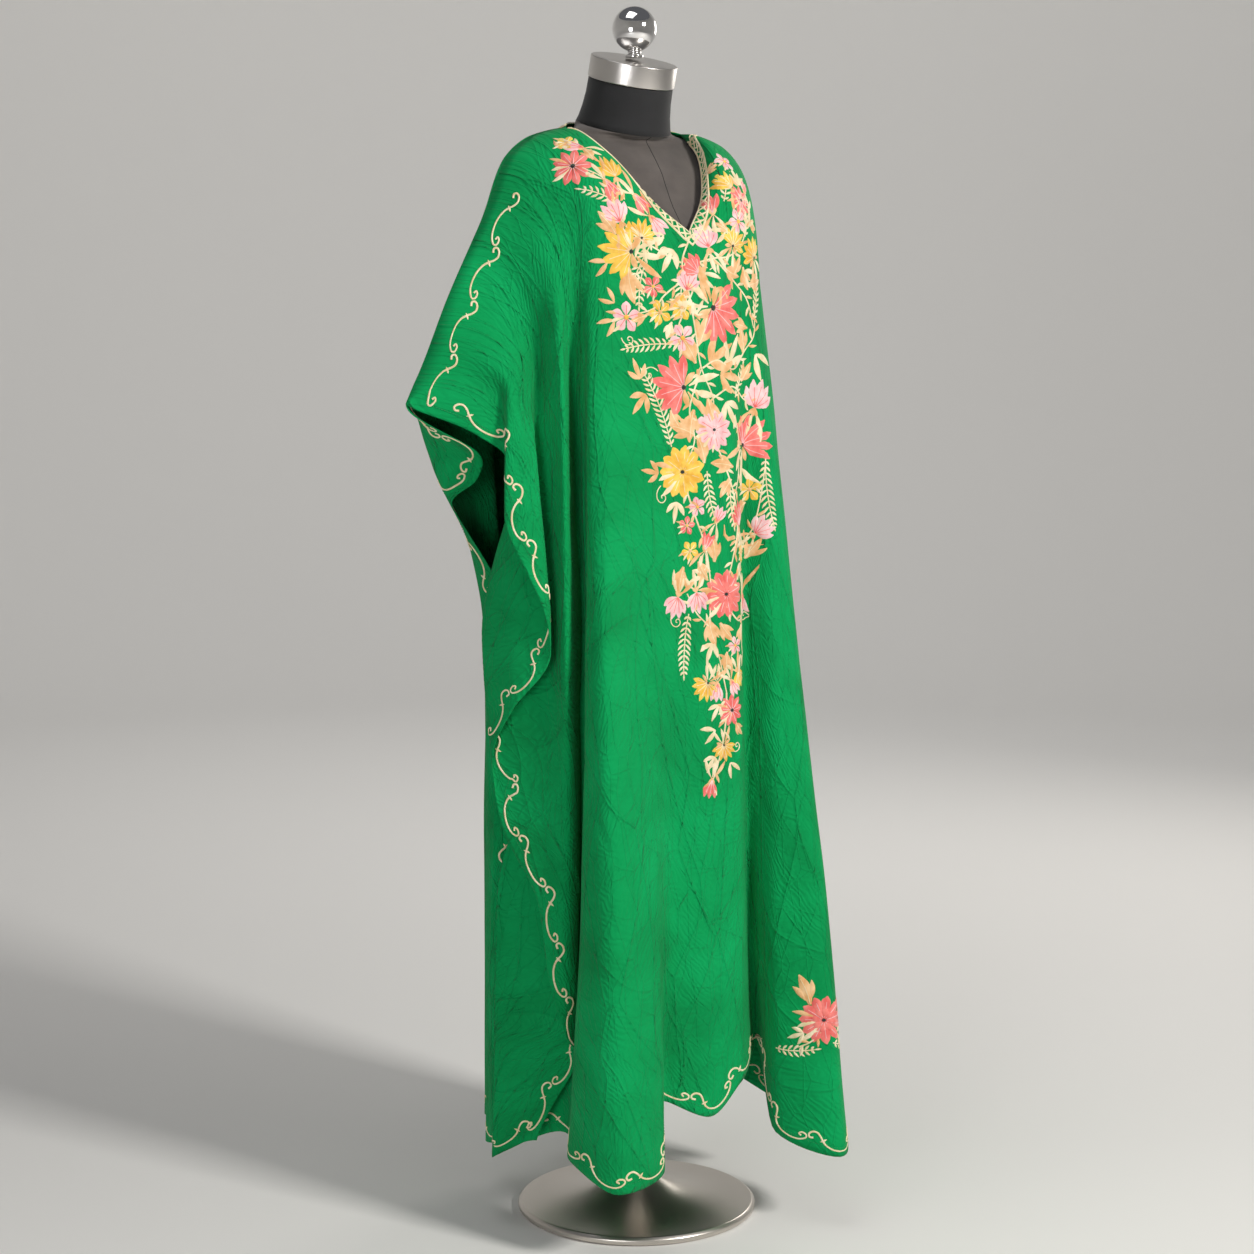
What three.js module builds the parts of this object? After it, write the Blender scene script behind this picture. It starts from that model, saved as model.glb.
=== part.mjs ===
// A kaftan on a limbless dress form: two wide cloth panels that meet along the shoulders, over a
// padded torso with a capped neck, on a steel pole and a round trumpet base.
// Millimetres, +Z up, the form faces -Y, and the origin is the centre of the base's underside.
import * as THREE from "three";

// Cloth sizes
const WALL = 2;
const SEAM_GAP = 0.3;
const SHOULDER_DROP = 130; // height over which the cloth turns from the shoulder line into its folds
const SHOULDER_ROUNDING = 0.5; // under 1, so that the cloth leaves the shoulder line almost level
const CORNER_DROP = 30; // the same at the sleeve corners
const FRONT_COLUMNS = { right: 48, left: 24 };
const BACK_COLUMNS = { right: 48, left: 24 };
const FRONT_ROWS = 25;
const BACK_ROWS = 20;
const ROW_CROWDING = 1.7; // rows lie closer together near the shoulders

// Stand and form sizes
const BASE_RADIUS = 160;
const BASE_RIM = 12;
const BASE_CONE = 46;
const POLE_RADIUS = 16;
const FORM_BOTTOM = 715;
const NECK = { radius: 55, foot: 62, footCentre: [0, 28, 1438], lean: 15, length: 59 };
const CAP = { radius: 56.5, height: 27.5 };
const FINIAL = { stemRadius: 8.5, ballRadius: 28.7, ballHeight: 1561 };
const JOINT = 0.3; // between pieces that touch

// Heights at which the fold tables give each fold's place in plan
const LEVELS = { yoke: 1240, sleeve: 1090, arm: 1010, waist: 790, knee: 450, hem: 110 };
const LEVEL_NAMES = Object.keys(LEVELS);
const LEVEL_HEIGHTS = Object.values(LEVELS);

// Neckline, shoulder and sleeve line, from the centre out to the sleeve corner. reach is the share of
// the half panel's width, at is the place of the line.
const TOP_RIGHT = [
  { reach: 0, at: [0, -105, 1300] },
  { reach: 0.055, at: [-47, -74, 1345] },
  { reach: 0.12, at: [-83, -20, 1405] },
  { reach: 1 / 6, at: [-95, 28, 1433] },
  { reach: 0.25, at: [-140, 28, 1424] },
  { reach: 1 / 3, at: [-187, 28, 1392] },
  { reach: 0.47, at: [-214, 32, 1330] },
  { reach: 0.7, at: [-273, 35.5, 1215] },
  { reach: 0.87, at: [-306, 38, 1140] },
  { reach: 1, at: [-332, 40, 1088] },
];
const TOP_LEFT = [
  { reach: 0, at: [0, -105, 1300] },
  { reach: 0.055, at: [47, -74, 1345] },
  { reach: 0.12, at: [83, -20, 1405] },
  { reach: 1 / 6, at: [95, 28, 1433] },
  { reach: 0.25, at: [140, 28, 1424] },
  { reach: 1 / 3, at: [187, 28, 1392] },
  { reach: 0.47, at: [206, 42, 1330] },
  { reach: 0.7, at: [222, 65, 1215] },
  { reach: 0.87, at: [235, 82, 1130] },
  { reach: 1, at: [245, 95, 1070] },
];
const BACK_NECK = [
  { reach: 0, at: [0, 96, 1446] },
  { reach: 0.07, at: [45, 79, 1444] },
  { reach: 0.13, at: [80, 47, 1438] },
  { reach: 1 / 6, at: [95, 28, 1433] },
];

// Front panel, from the wearer's right sleeve edge over the centre to the left sleeve edge
const FRONT_FOLDS = [
  { fold: "right sleeve edge", hemHeight: 120, yoke: [-262, 36], sleeve: [-332, 40], arm: [-290, 8],
    waist: [-262, -20], knee: [-262, -20], hem: [-262, -20] },
  { fold: "right sleeve flap", hemHeight: 120, yoke: [-256, 0], sleeve: [-268, -9], arm: [-257, -15],
    waist: [-243, -38], knee: [-243, -38], hem: [-243, -38] },
  { fold: "flap valley", hemHeight: 120, yoke: [-228, -12], sleeve: [-235, -26], arm: [-233, -36],
    waist: [-235, -52], knee: [-235, -52], hem: [-235, -52] },
  { fold: "outer strip crest", hemHeight: 120, yoke: [-220, -21], sleeve: [-233, -40], arm: [-244, -48],
    waist: [-256, -62], knee: [-248, -55], hem: [-248, -55] },
  { fold: "outer strip", hemHeight: 120, yoke: [-205, -27], sleeve: [-216, -44], arm: [-226, -60],
    waist: [-233, -79], knee: [-227, -71], hem: [-227, -71] },
  { fold: "outer turn", hemHeight: 120, yoke: [-190, -27], sleeve: [-197, -37], arm: [-203, -58],
    waist: [-199, -80], knee: [-200, -72], hem: [-200, -72] },
  { fold: "return strip", hemHeight: 120, yoke: [-183, -27], sleeve: [-187, -32], arm: [-202, -35],
    waist: [-224, -28], knee: [-217, -33], hem: [-217, -33] },
  { fold: "left turn", hemHeight: 120, yoke: [-179, -30], sleeve: [-181, -36], arm: [-197, -18],
    waist: [-230, 25], knee: [-222, -5], hem: [-222, -5] },
  { fold: "side strip", hemHeight: 120, yoke: [-178, -43], sleeve: [-178, -51], arm: [-179, -53],
    waist: [-182, -51], knee: [-197, -49], hem: [-197, -49] },
  { fold: "side tube", hemHeight: 125, yoke: [-173, -57], sleeve: [-174, -73], arm: [-177, -80],
    waist: [-180, -88], knee: [-171, -77], hem: [-177, -73] },
  { fold: "inner turn", hemHeight: 128, yoke: [-162, -61], sleeve: [-146, -54], arm: [-141, -52],
    waist: [-142, -64], knee: [-144, -62], hem: [-149, -64] },
  { fold: "corner strip", hemHeight: 130, yoke: [-153, -62], sleeve: [-141, -55], arm: [-136, -52],
    waist: [-136, -60], knee: [-153, -23], hem: [-181, -11] },
  { fold: "far turn", hemHeight: 98, yoke: [-147, -66], sleeve: [-140, -62], arm: [-135, -60],
    waist: [-135, -66], knee: [-197, 42], hem: [-207, 43] },
  { fold: "hidden run", hemHeight: 138, yoke: [-142, -72], sleeve: [-141, -76], arm: [-140, -78],
    waist: [-140, -86], knee: [-135, -54], hem: [-143, -31] },
  { fold: "lobe outer side", hemHeight: 128, yoke: [-135, -80], sleeve: [-149, -93], arm: [-156, -99],
    waist: [-166, -109], knee: [-175, -112], hem: [-190, -105] },
  { fold: "right lobe", hemHeight: 101, yoke: [-118, -90], sleeve: [-135, -108], arm: [-144, -118],
    waist: [-161, -138], knee: [-164, -159], hem: [-170, -180] },
  { fold: "lobe inner side", hemHeight: 112, yoke: [-75, -104], sleeve: [-84, -116], arm: [-90, -123],
    waist: [-100, -132], knee: [-91, -155], hem: [-95, -177] },
  { fold: "lobe valley", hemHeight: 190, yoke: [-37, -113], sleeve: [-40, -121], arm: [-43, -124],
    waist: [-46, -132], knee: [-55, -135], hem: [-65, -134] },
  { fold: "centre", hemHeight: 162, yoke: [0, -122], sleeve: [0, -126], arm: [0, -130],
    waist: [0, -138], knee: [0, -148], hem: [0, -156] },
  { fold: "centre lobe side", hemHeight: 198, yoke: [42, -121], sleeve: [48, -127], arm: [51, -131],
    waist: [55, -141], knee: [55, -150], hem: [51, -154] },
  { fold: "deep valley", hemHeight: 225, yoke: [80, -113], sleeve: [90, -112], arm: [92, -110],
    waist: [95, -108], knee: [98, -114], hem: [130, -106] },
  { fold: "left lobe inner side", hemHeight: 126, yoke: [108, -104], sleeve: [115, -116], arm: [116, -123],
    waist: [118, -138], knee: [108, -162], hem: [100, -168] },
  { fold: "left lobe", hemHeight: 102, yoke: [134, -87], sleeve: [142, -104], arm: [144, -114],
    waist: [148, -143], knee: [156, -196], hem: [148, -246] },
  { fold: "left lobe outer side", hemHeight: 112, yoke: [155, -60], sleeve: [165, -78], arm: [168, -84],
    waist: [178, -105], knee: [192, -140], hem: [200, -185] },
  { fold: "left side valley", hemHeight: 150, yoke: [170, -30], sleeve: [180, -45], arm: [180, -50],
    waist: [182, -62], knee: [178, -75], hem: [178, -95] },
  { fold: "left side fold", hemHeight: 108, yoke: [183, -5], sleeve: [198, -18], arm: [203, -20],
    waist: [212, -25], knee: [220, -30], hem: [228, -40] },
  { fold: "left flap valley", hemHeight: 145, yoke: [192, 18], sleeve: [205, 12], arm: [202, 14],
    waist: [196, 20], knee: [190, 30], hem: [190, 30] },
  { fold: "left flap", hemHeight: 104, yoke: [204, 36], sleeve: [228, 45], arm: [226, 48],
    waist: [220, 55], knee: [222, 68], hem: [226, 74] },
  { fold: "left sleeve edge", hemHeight: 112, yoke: [215, 58], sleeve: [242, 92], arm: [233, 86],
    waist: [226, 99.2], knee: [220, 103.2], hem: [218, 105.2] },
];

// Back panel, from the wearer's left sleeve edge over the centre to the right sleeve edge
const BACK_FOLDS = [
  { fold: "left sleeve edge", hemHeight: 112, yoke: [221, 64], sleeve: [245, 97], arm: [238, 104],
    waist: [226, 100.8], knee: [220, 104.8], hem: [218, 106.8] },
  { fold: "left flap", hemHeight: 104, yoke: [214, 62], sleeve: [226, 108], arm: [222, 124],
    waist: [212, 146], knee: [210, 166], hem: [208, 178] },
  { fold: "left valley", hemHeight: 112, yoke: [203, 66], sleeve: [194, 92], arm: [178, 96],
    waist: [158, 108], knee: [150, 86], hem: [148, 84] },
  { fold: "left crest", hemHeight: 104, yoke: [182, 86], sleeve: [158, 142], arm: [142, 158],
    waist: [126, 188], knee: [124, 204], hem: [122, 222] },
  { fold: "left inner valley", hemHeight: 112, yoke: [112, 112], sleeve: [94, 106], arm: [80, 106],
    waist: [74, 130], knee: [66, 96], hem: [62, 92] },
  { fold: "centre back", hemHeight: 105, yoke: [20, 124], sleeve: [20, 154], arm: [18, 166],
    waist: [14, 196], knee: [8, 212], hem: [4, 232] },
  { fold: "right inner valley", hemHeight: 113, yoke: [-80, 119], sleeve: [-62, 108], arm: [-48, 108],
    waist: [-54, 134], knee: [-58, 98], hem: [-62, 94] },
  { fold: "right crest", hemHeight: 104, yoke: [-150, 104], sleeve: [-138, 144], arm: [-122, 158],
    waist: [-112, 179], knee: [-118, 184], hem: [-116, 188] },
  { fold: "right valley", hemHeight: 112, yoke: [-190, 78], sleeve: [-178, 98], arm: [-162, 98],
    waist: [-146, 104], knee: [-146, 82], hem: [-142, 80] },
  { fold: "right side fold", hemHeight: 104, yoke: [-214, 62], sleeve: [-228, 94], arm: [-206, 96],
    waist: [-180, 86], knee: [-178, 92], hem: [-180, 92] },
  { fold: "right side edge", hemHeight: 110, yoke: [-236, 52], sleeve: [-266, 78], arm: [-243, 80],
    waist: [-202, 60], knee: [-192, 60], hem: [-194, 62] },
  { fold: "wing turn", hemHeight: 118, yoke: [-254, 46], sleeve: [-302, 60], arm: [-276, 67],
    waist: [-186, 14], knee: [-168, 32], hem: [-168, 34] },
  { fold: "right sleeve edge", hemHeight: 118, yoke: [-262, 40], sleeve: [-332, 41], arm: [-236, -6],
    waist: [-180, 0], knee: [-160, 20], hem: [-160, 20] },
];

// How far each panel reaches sideways, in folds from its centre, as its free edge falls inwards
const FRONT_RIGHT_EDGE = [
  { height: 110, folds: 7 },
  { height: 140, folds: 7.1 },
  { height: 245, folds: 8 },
  { height: 280, folds: 9 },
  { height: 360, folds: 9.7 },
  { height: 450, folds: 10 },
  { height: 550, folds: 10.8 },
  { height: 630, folds: 11.2 },
  { height: 780, folds: 13 },
  { height: 850, folds: 13.6 },
  { height: 945, folds: 15 },
  { height: 1020, folds: 16 },
  { height: 1050, folds: 17 },
  { height: 1088, folds: 18 },
];
const FRONT_LEFT_EDGE = [
  { height: 110, folds: 10 },
  { height: 1070, folds: 10 },
];
const BACK_RIGHT_EDGE = [
  { height: 110, folds: 6 },
  { height: 950, folds: 6 },
  { height: 990, folds: 6.7 },
  { height: 1030, folds: 7 },
];
const BACK_LEFT_EDGE = [
  { height: 110, folds: 5 },
  { height: 1070, folds: 5 },
];

// Form, as level rings: the ridge is where the widest points of a ring lie
const FORM_RINGS = [
  { height: FORM_BOTTOM, ridge: 5, half: 135, front: 90, back: 94, lean: 0, square: 2.25 },
  { height: 722, ridge: 5, half: 142, front: 97, back: 101, lean: 0, square: 2.25 },
  { height: 830, ridge: 8, half: 150, front: 102, back: 116, lean: 0, square: 2.25 },
  { height: 930, ridge: 8, half: 134, front: 94, back: 98, lean: 0, square: 2.25 },
  { height: 1020, ridge: 8, half: 120, front: 92, back: 80, lean: 0, square: 2.25 },
  { height: 1120, ridge: 10, half: 140, front: 108, back: 88, lean: 0, square: 2.25 },
  { height: 1220, ridge: 14, half: 158, front: 126, back: 94, lean: 0, square: 2.25 },
  { height: 1290, ridge: 20, half: 170, front: 121, back: 88, lean: 0, square: 2.25 },
  { height: 1340, ridge: 24, half: 180, front: 94, back: 78, lean: 0, square: 2.25 },
  { height: 1372, ridge: 28.5, half: 184, front: 82, back: 70, lean: 0, square: 1.9 },
  { height: 1388.5, ridge: 28.5, half: 181, front: 72, back: 62, lean: 1, square: 1.6 },
  { height: 1409.5, ridge: 28.5, half: 158.5, front: 56, back: 53, lean: 2, square: 1.35 },
  { height: 1421.5, ridge: 28, half: 132, front: 48, back: 50, lean: 4, square: 1.15 },
  { height: 1429.5, ridge: 28, half: 87, front: 54, back: 52, lean: 9, square: 1.35 },
  { height: 1438, ridge: 28, half: 64, front: 58, back: 60, lean: 15, square: 2 },
];

const material = (color, metalness, roughness) =>
  new THREE.MeshStandardMaterial({ color, metalness, roughness });
const CLOTH = material(0x0c9a58, 0, 0.85);
const FORM_FABRIC = material(0x3e3836, 0, 0.9);
const NECK_FABRIC = material(0x1d1d21, 0, 0.8);
const BRUSHED_STEEL = material(0xb9b4ac, 1, 0.35);
const POLISHED_STEEL = material(0xd8d8d8, 1, 0.08);

// Curves through tables

// Slopes of a smooth curve through (xs, ys) that never overshoots
function gentleSlopes(xs, ys) {
  const n = xs.length;
  const chord = xs.slice(1).map((x, i) => (ys[i + 1] - ys[i]) / (x - xs[i]));
  const slopes = new Array(n).fill(0);
  slopes[0] = chord[0];
  slopes[n - 1] = chord[n - 2];
  for (let i = 1; i < n - 1; i++) {
    const [a, b] = [chord[i - 1], chord[i]];
    slopes[i] = a * b > 0 ? (2 * a * b) / (a + b) : 0;
  }
  return slopes;
}

function gentleCurve(xs, ys) {
  const slopes = gentleSlopes(xs, ys);
  return (x) => {
    const at = THREE.MathUtils.clamp(x, xs[0], xs[xs.length - 1]);
    let i = 0;
    while (i < xs.length - 2 && at > xs[i + 1]) i++;
    const step = xs[i + 1] - xs[i];
    const s = (at - xs[i]) / step;
    const s2 = s * s;
    const s3 = s2 * s;
    return (
      (2 * s3 - 3 * s2 + 1) * ys[i] +
      (s3 - 2 * s2 + s) * step * slopes[i] +
      (3 * s2 - 2 * s3) * ys[i + 1] +
      (s3 - s2) * step * slopes[i + 1]
    );
  };
}

const edgeCurve = (table) =>
  gentleCurve(
    table.map((row) => row.height),
    table.map((row) => row.folds),
  );

function topCurve(table) {
  const reach = table.map((row) => row.reach);
  const parts = [0, 1, 2].map((c) => gentleCurve(reach, table.map((row) => row.at[c])));
  return (s) => parts.map((part) => part(s));
}

// A centripetal curve through plan points, which passes tight turns without loops
function throughPoints(points, place) {
  const last = points.length - 1;
  const i = Math.min(Math.floor(place), last - 1);
  const s = place - i;
  const p1 = points[i];
  const p2 = points[i + 1];
  const p0 = i > 0 ? points[i - 1] : [2 * p1[0] - p2[0], 2 * p1[1] - p2[1]];
  const p3 = i + 2 <= last ? points[i + 2] : [2 * p2[0] - p1[0], 2 * p2[1] - p1[1]];
  const knot = (a, b) => Math.sqrt(Math.max(Math.hypot(a[0] - b[0], a[1] - b[1]), 0.5));
  const [d0, d1, d2] = [knot(p0, p1), knot(p1, p2), knot(p2, p3)];
  return [0, 1].map((c) => {
    const out = d1 * ((p1[c] - p0[c]) / d0 - (p2[c] - p0[c]) / (d0 + d1) + (p2[c] - p1[c]) / d1);
    const into = d1 * ((p2[c] - p1[c]) / d1 - (p3[c] - p1[c]) / (d1 + d2) + (p3[c] - p2[c]) / d2);
    const s2 = s * s;
    const s3 = s2 * s;
    return (
      (2 * s3 - 3 * s2 + 1) * p1[c] +
      (s3 - 2 * s2 + s) * out +
      (3 * s2 - 2 * s3) * p2[c] +
      (s3 - s2) * into
    );
  });
}

// The middle surface of a panel: across runs from -1 to 1 over its width, down from 0 to 1
function panelSurface({ folds, centre, firstEdge, lastEdge, firstTop, lastTop, seamShift }) {
  const heights = [...LEVEL_HEIGHTS].reverse();
  const names = [...LEVEL_NAMES].reverse();
  const foldCurves = folds.map((row) =>
    [0, 1].map((c) => gentleCurve(heights, names.map((name) => row[name][c]))),
  );
  const hemCurve = gentleCurve(
    folds.map((row, i) => i),
    folds.map((row) => row.hemHeight),
  );
  return (across, down) => {
    const share = Math.abs(across);
    const side = Math.sign(across) || 1;
    const edge = side < 0 ? firstEdge : lastEdge;
    const top = (side < 0 ? firstTop : lastTop)(share);
    const hem = hemCurve(centre + side * share * edge(LEVELS.hem));
    const height = top[2] + (hem - top[2]) * down;
    const fold = centre + side * share * edge(height);
    const low = Math.max(0, Math.floor(fold) - 1);
    const near = foldCurves.slice(low, low + 4).map((curves) => curves.map((curve) => curve(height)));
    const plan = throughPoints(near, fold - low);
    const drop = THREE.MathUtils.lerp(SHOULDER_DROP, CORNER_DROP, THREE.MathUtils.smoothstep(share, 0.5, 1));
    const left = 1 - Math.min((top[2] - height) / drop, 1);
    const settled = Math.pow(1 - left * left, SHOULDER_ROUNDING);
    return new THREE.Vector3(
      THREE.MathUtils.lerp(top[0], plan[0], settled),
      THREE.MathUtils.lerp(top[1] + seamShift, plan[1], settled),
      height,
    );
  };
}

// A closed wall of even thickness about a middle surface
function panelWall(surface, columns, rows, seamFrom, topNormal) {
  const acrossValues = [];
  for (let i = columns.first; i > 0; i--) acrossValues.push(-i / columns.first);
  for (let i = 0; i <= columns.last; i++) acrossValues.push(i / columns.last);
  const wide = acrossValues.length;
  const middle = [];
  for (let j = 0; j <= rows; j++) {
    const down = Math.pow(j / rows, ROW_CROWDING);
    middle.push(acrossValues.map((across) => surface(across, down)));
  }
  const normalAt = (i, j) => {
    const along = new THREE.Vector3().subVectors(
      middle[j][Math.min(i + 1, wide - 1)],
      middle[j][Math.max(i - 1, 0)],
    );
    const downward = new THREE.Vector3().subVectors(
      middle[Math.min(j + 1, rows)][i],
      middle[Math.max(j - 1, 0)][i],
    );
    return downward.cross(along).normalize();
  };
  const positions = [];
  for (const offset of [WALL / 2, -WALL / 2])
    for (let j = 0; j <= rows; j++)
      for (let i = 0; i < wide; i++) {
        const onSeam = j === 0 && Math.abs(acrossValues[i]) >= seamFrom;
        const normal = onSeam ? topNormal(acrossValues[i]) : normalAt(i, j);
        const p = middle[j][i];
        positions.push(p.x + normal.x * offset, p.y + normal.y * offset, p.z + normal.z * offset);
      }
  const layer = (rows + 1) * wide;
  const index = [];
  const quad = (a, b, c, d) => index.push(a, b, c, a, c, d);
  const outer = (i, j) => j * wide + i;
  const inner = (i, j) => layer + outer(i, j);
  for (let j = 0; j < rows; j++)
    for (let i = 0; i < wide - 1; i++) {
      quad(outer(i, j), outer(i, j + 1), outer(i + 1, j + 1), outer(i + 1, j));
      quad(inner(i, j), inner(i + 1, j), inner(i + 1, j + 1), inner(i, j + 1));
    }
  for (let i = 0; i < wide - 1; i++) {
    quad(outer(i, 0), outer(i + 1, 0), inner(i + 1, 0), inner(i, 0));
    quad(outer(i, rows), inner(i, rows), inner(i + 1, rows), outer(i + 1, rows));
  }
  for (let j = 0; j < rows; j++) {
    quad(outer(0, j), inner(0, j), inner(0, j + 1), outer(0, j + 1));
    quad(outer(wide - 1, j), outer(wide - 1, j + 1), inner(wide - 1, j + 1), inner(wide - 1, j));
  }
  const geometry = new THREE.BufferGeometry();
  geometry.setAttribute("position", new THREE.Float32BufferAttribute(positions, 3));
  geometry.setIndex(index);
  return geometry;
}

// The upright normal of a shoulder line, which both panels share along the seam
function ridgeNormal(top, share) {
  const step = 0.01;
  const a = top(Math.max(share - step, 0));
  const b = top(Math.min(share + step, 1));
  const rise = b[2] - a[2];
  const run = Math.abs(b[0] - a[0]);
  const outward = Math.sign(b[0] - a[0]);
  return new THREE.Vector3(-rise * outward, 0, run).normalize();
}

function frontPanel() {
  const rightTop = topCurve(TOP_RIGHT);
  const leftTop = topCurve(TOP_LEFT);
  const surface = panelSurface({
    folds: FRONT_FOLDS,
    centre: FRONT_FOLDS.findIndex((row) => row.fold === "centre"),
    firstEdge: edgeCurve(FRONT_RIGHT_EDGE),
    lastEdge: edgeCurve(FRONT_LEFT_EDGE),
    firstTop: rightTop,
    lastTop: leftTop,
    seamShift: -SEAM_GAP / 2,
  });
  const columns = { first: FRONT_COLUMNS.right, last: FRONT_COLUMNS.left };
  const neckPoint = TOP_RIGHT[3].reach;
  return panelWall(surface, columns, FRONT_ROWS, neckPoint, (across) =>
    ridgeNormal(across < 0 ? rightTop : leftTop, Math.abs(across)),
  );
}

function backPanel() {
  const mirrored = BACK_NECK.map(({ reach, at }) => ({ reach, at: [-at[0], at[1], at[2]] }));
  const neckRows = BACK_NECK.length;
  const leftTop = topCurve([...BACK_NECK, ...TOP_LEFT.slice(neckRows)]);
  const rightTop = topCurve([...mirrored, ...TOP_RIGHT.slice(neckRows)]);
  const surface = panelSurface({
    folds: BACK_FOLDS,
    centre: BACK_FOLDS.findIndex((row) => row.fold === "centre back"),
    firstEdge: edgeCurve(BACK_LEFT_EDGE),
    lastEdge: edgeCurve(BACK_RIGHT_EDGE),
    firstTop: leftTop,
    lastTop: rightTop,
    seamShift: SEAM_GAP / 2,
  });
  const columns = { first: BACK_COLUMNS.left, last: BACK_COLUMNS.right };
  const neckPoint = BACK_NECK[neckRows - 1].reach;
  return panelWall(surface, columns, BACK_ROWS, neckPoint, (across) =>
    ridgeNormal(across < 0 ? leftTop : rightTop, Math.abs(across)),
  );
}

// A closed body through rings of points, with flat ends
function loftRings(rings) {
  const sides = rings[0].length;
  const positions = [];
  const index = [];
  rings.forEach((ring) => ring.forEach((p) => positions.push(p.x, p.y, p.z)));
  for (let r = 0; r < rings.length - 1; r++)
    for (let s = 0; s < sides; s++) {
      const next = (s + 1) % sides;
      const [a, b] = [r * sides + s, r * sides + next];
      index.push(a, b, b + sides, a, b + sides, a + sides);
    }
  const endCap = (r, turned) => {
    const middle = new THREE.Vector3();
    rings[r].forEach((p) => middle.addScaledVector(p, 1 / sides));
    const hub = positions.length / 3;
    positions.push(middle.x, middle.y, middle.z);
    for (let s = 0; s < sides; s++) {
      const [a, b] = [r * sides + s, r * sides + ((s + 1) % sides)];
      if (turned) index.push(hub, b, a);
      else index.push(hub, a, b);
    }
  };
  endCap(0, true);
  endCap(rings.length - 1, false);
  const geometry = new THREE.BufferGeometry();
  geometry.setAttribute("position", new THREE.Float32BufferAttribute(positions, 3));
  geometry.setIndex(index);
  return geometry;
}

function formTorso() {
  const sides = 36;
  const rings = FORM_RINGS.map(({ height, ridge, half, front, back, lean, square }) => {
    const slope = Math.tan(THREE.MathUtils.degToRad(lean));
    return Array.from({ length: sides }, (unused, s) => {
      const angle = (2 * Math.PI * s) / sides;
      const [c, d] = [Math.cos(angle), Math.sin(angle)];
      const squared = (value) => Math.sign(value) * Math.pow(Math.abs(value), 2 / square);
      const y = squared(d) * (d < 0 ? front : back);
      return new THREE.Vector3(half * squared(c), ridge + y, height + y * slope);
    });
  });
  return loftRings(rings);
}

// A round body about the neck's leaning axis: each row gives a distance up that axis and a radius
function leaningBody(rows, sides) {
  const lean = THREE.MathUtils.degToRad(NECK.lean);
  const foot = new THREE.Vector3(...NECK.footCentre);
  const axis = new THREE.Vector3(0, -Math.sin(lean), Math.cos(lean));
  const forward = new THREE.Vector3(0, Math.cos(lean), Math.sin(lean));
  const rings = rows.map(({ up, radius }) =>
    Array.from({ length: sides }, (unused, s) => {
      const angle = (2 * Math.PI * s) / sides;
      return foot
        .clone()
        .addScaledVector(axis, up)
        .addScaledVector(new THREE.Vector3(1, 0, 0), radius * Math.cos(angle))
        .addScaledVector(forward, radius * Math.sin(angle));
    }),
  );
  return loftRings(rings);
}

function formNeck() {
  const seam = JOINT;
  return leaningBody(
    [
      { up: seam, radius: NECK.foot },
      { up: NECK.length * 0.35, radius: 57.5 },
      { up: NECK.length - JOINT, radius: NECK.radius },
    ],
    40,
  );
}

function neckCap() {
  const bevel = 1.5;
  return leaningBody(
    [
      { up: NECK.length, radius: CAP.radius - bevel / 2 },
      { up: NECK.length + bevel, radius: CAP.radius },
      { up: NECK.length + CAP.height - bevel, radius: CAP.radius },
      { up: NECK.length + CAP.height, radius: CAP.radius - bevel },
    ],
    48,
  );
}

function turned(profile, sides) {
  return new THREE.LatheGeometry(
    profile.map(([radius, height]) => new THREE.Vector2(radius, height)),
    sides,
  ).rotateX(Math.PI / 2);
}

function finial() {
  const { stemRadius, ballRadius, ballHeight } = FINIAL;
  const lean = THREE.MathUtils.degToRad(NECK.lean);
  const capTop = NECK.footCentre[2] + (NECK.length + CAP.height) * Math.cos(lean);
  const centreY = NECK.footCentre[1] - (NECK.length + CAP.height) * Math.sin(lean);
  const foot = capTop + (stemRadius + 3) * Math.sin(lean) + JOINT;
  const socket = Math.asin(stemRadius / ballRadius);
  const profile = [
    [0, foot],
    [stemRadius + 3, foot],
    [stemRadius + 3, foot + 3],
    [stemRadius, foot + 4.5],
  ];
  const steps = 14;
  for (let i = 0; i <= steps; i++) {
    const angle = socket + ((Math.PI - socket) * i) / steps;
    const radius = i === steps ? 0 : ballRadius * Math.sin(angle);
    profile.push([radius, ballHeight - ballRadius * Math.cos(angle)]);
  }
  return turned(profile, 28).translate(0, centreY, 0);
}

function pole() {
  return turned(
    [
      [0, BASE_CONE + JOINT],
      [POLE_RADIUS, BASE_CONE + JOINT],
      [POLE_RADIUS, FORM_BOTTOM - JOINT],
      [0, FORM_BOTTOM - JOINT],
    ],
    28,
  );
}

// A round plate that sweeps up into the pole's socket
function base() {
  const profile = [
    [0, 0],
    [BASE_RADIUS - 4, 0],
    [BASE_RADIUS, 3],
    [BASE_RADIUS, BASE_RIM - 4],
    [BASE_RADIUS - 4, BASE_RIM],
  ];
  const steps = 8;
  const inner = POLE_RADIUS + 10;
  for (let i = 1; i <= steps; i++) {
    const s = i / steps;
    const radius = BASE_RADIUS - 4 + (inner - BASE_RADIUS + 4) * s;
    profile.push([radius, BASE_RIM + (BASE_CONE - BASE_RIM) * Math.pow(s, 2.6)]);
  }
  profile.push([0, BASE_CONE]);
  return turned(profile, 48);
}

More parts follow.
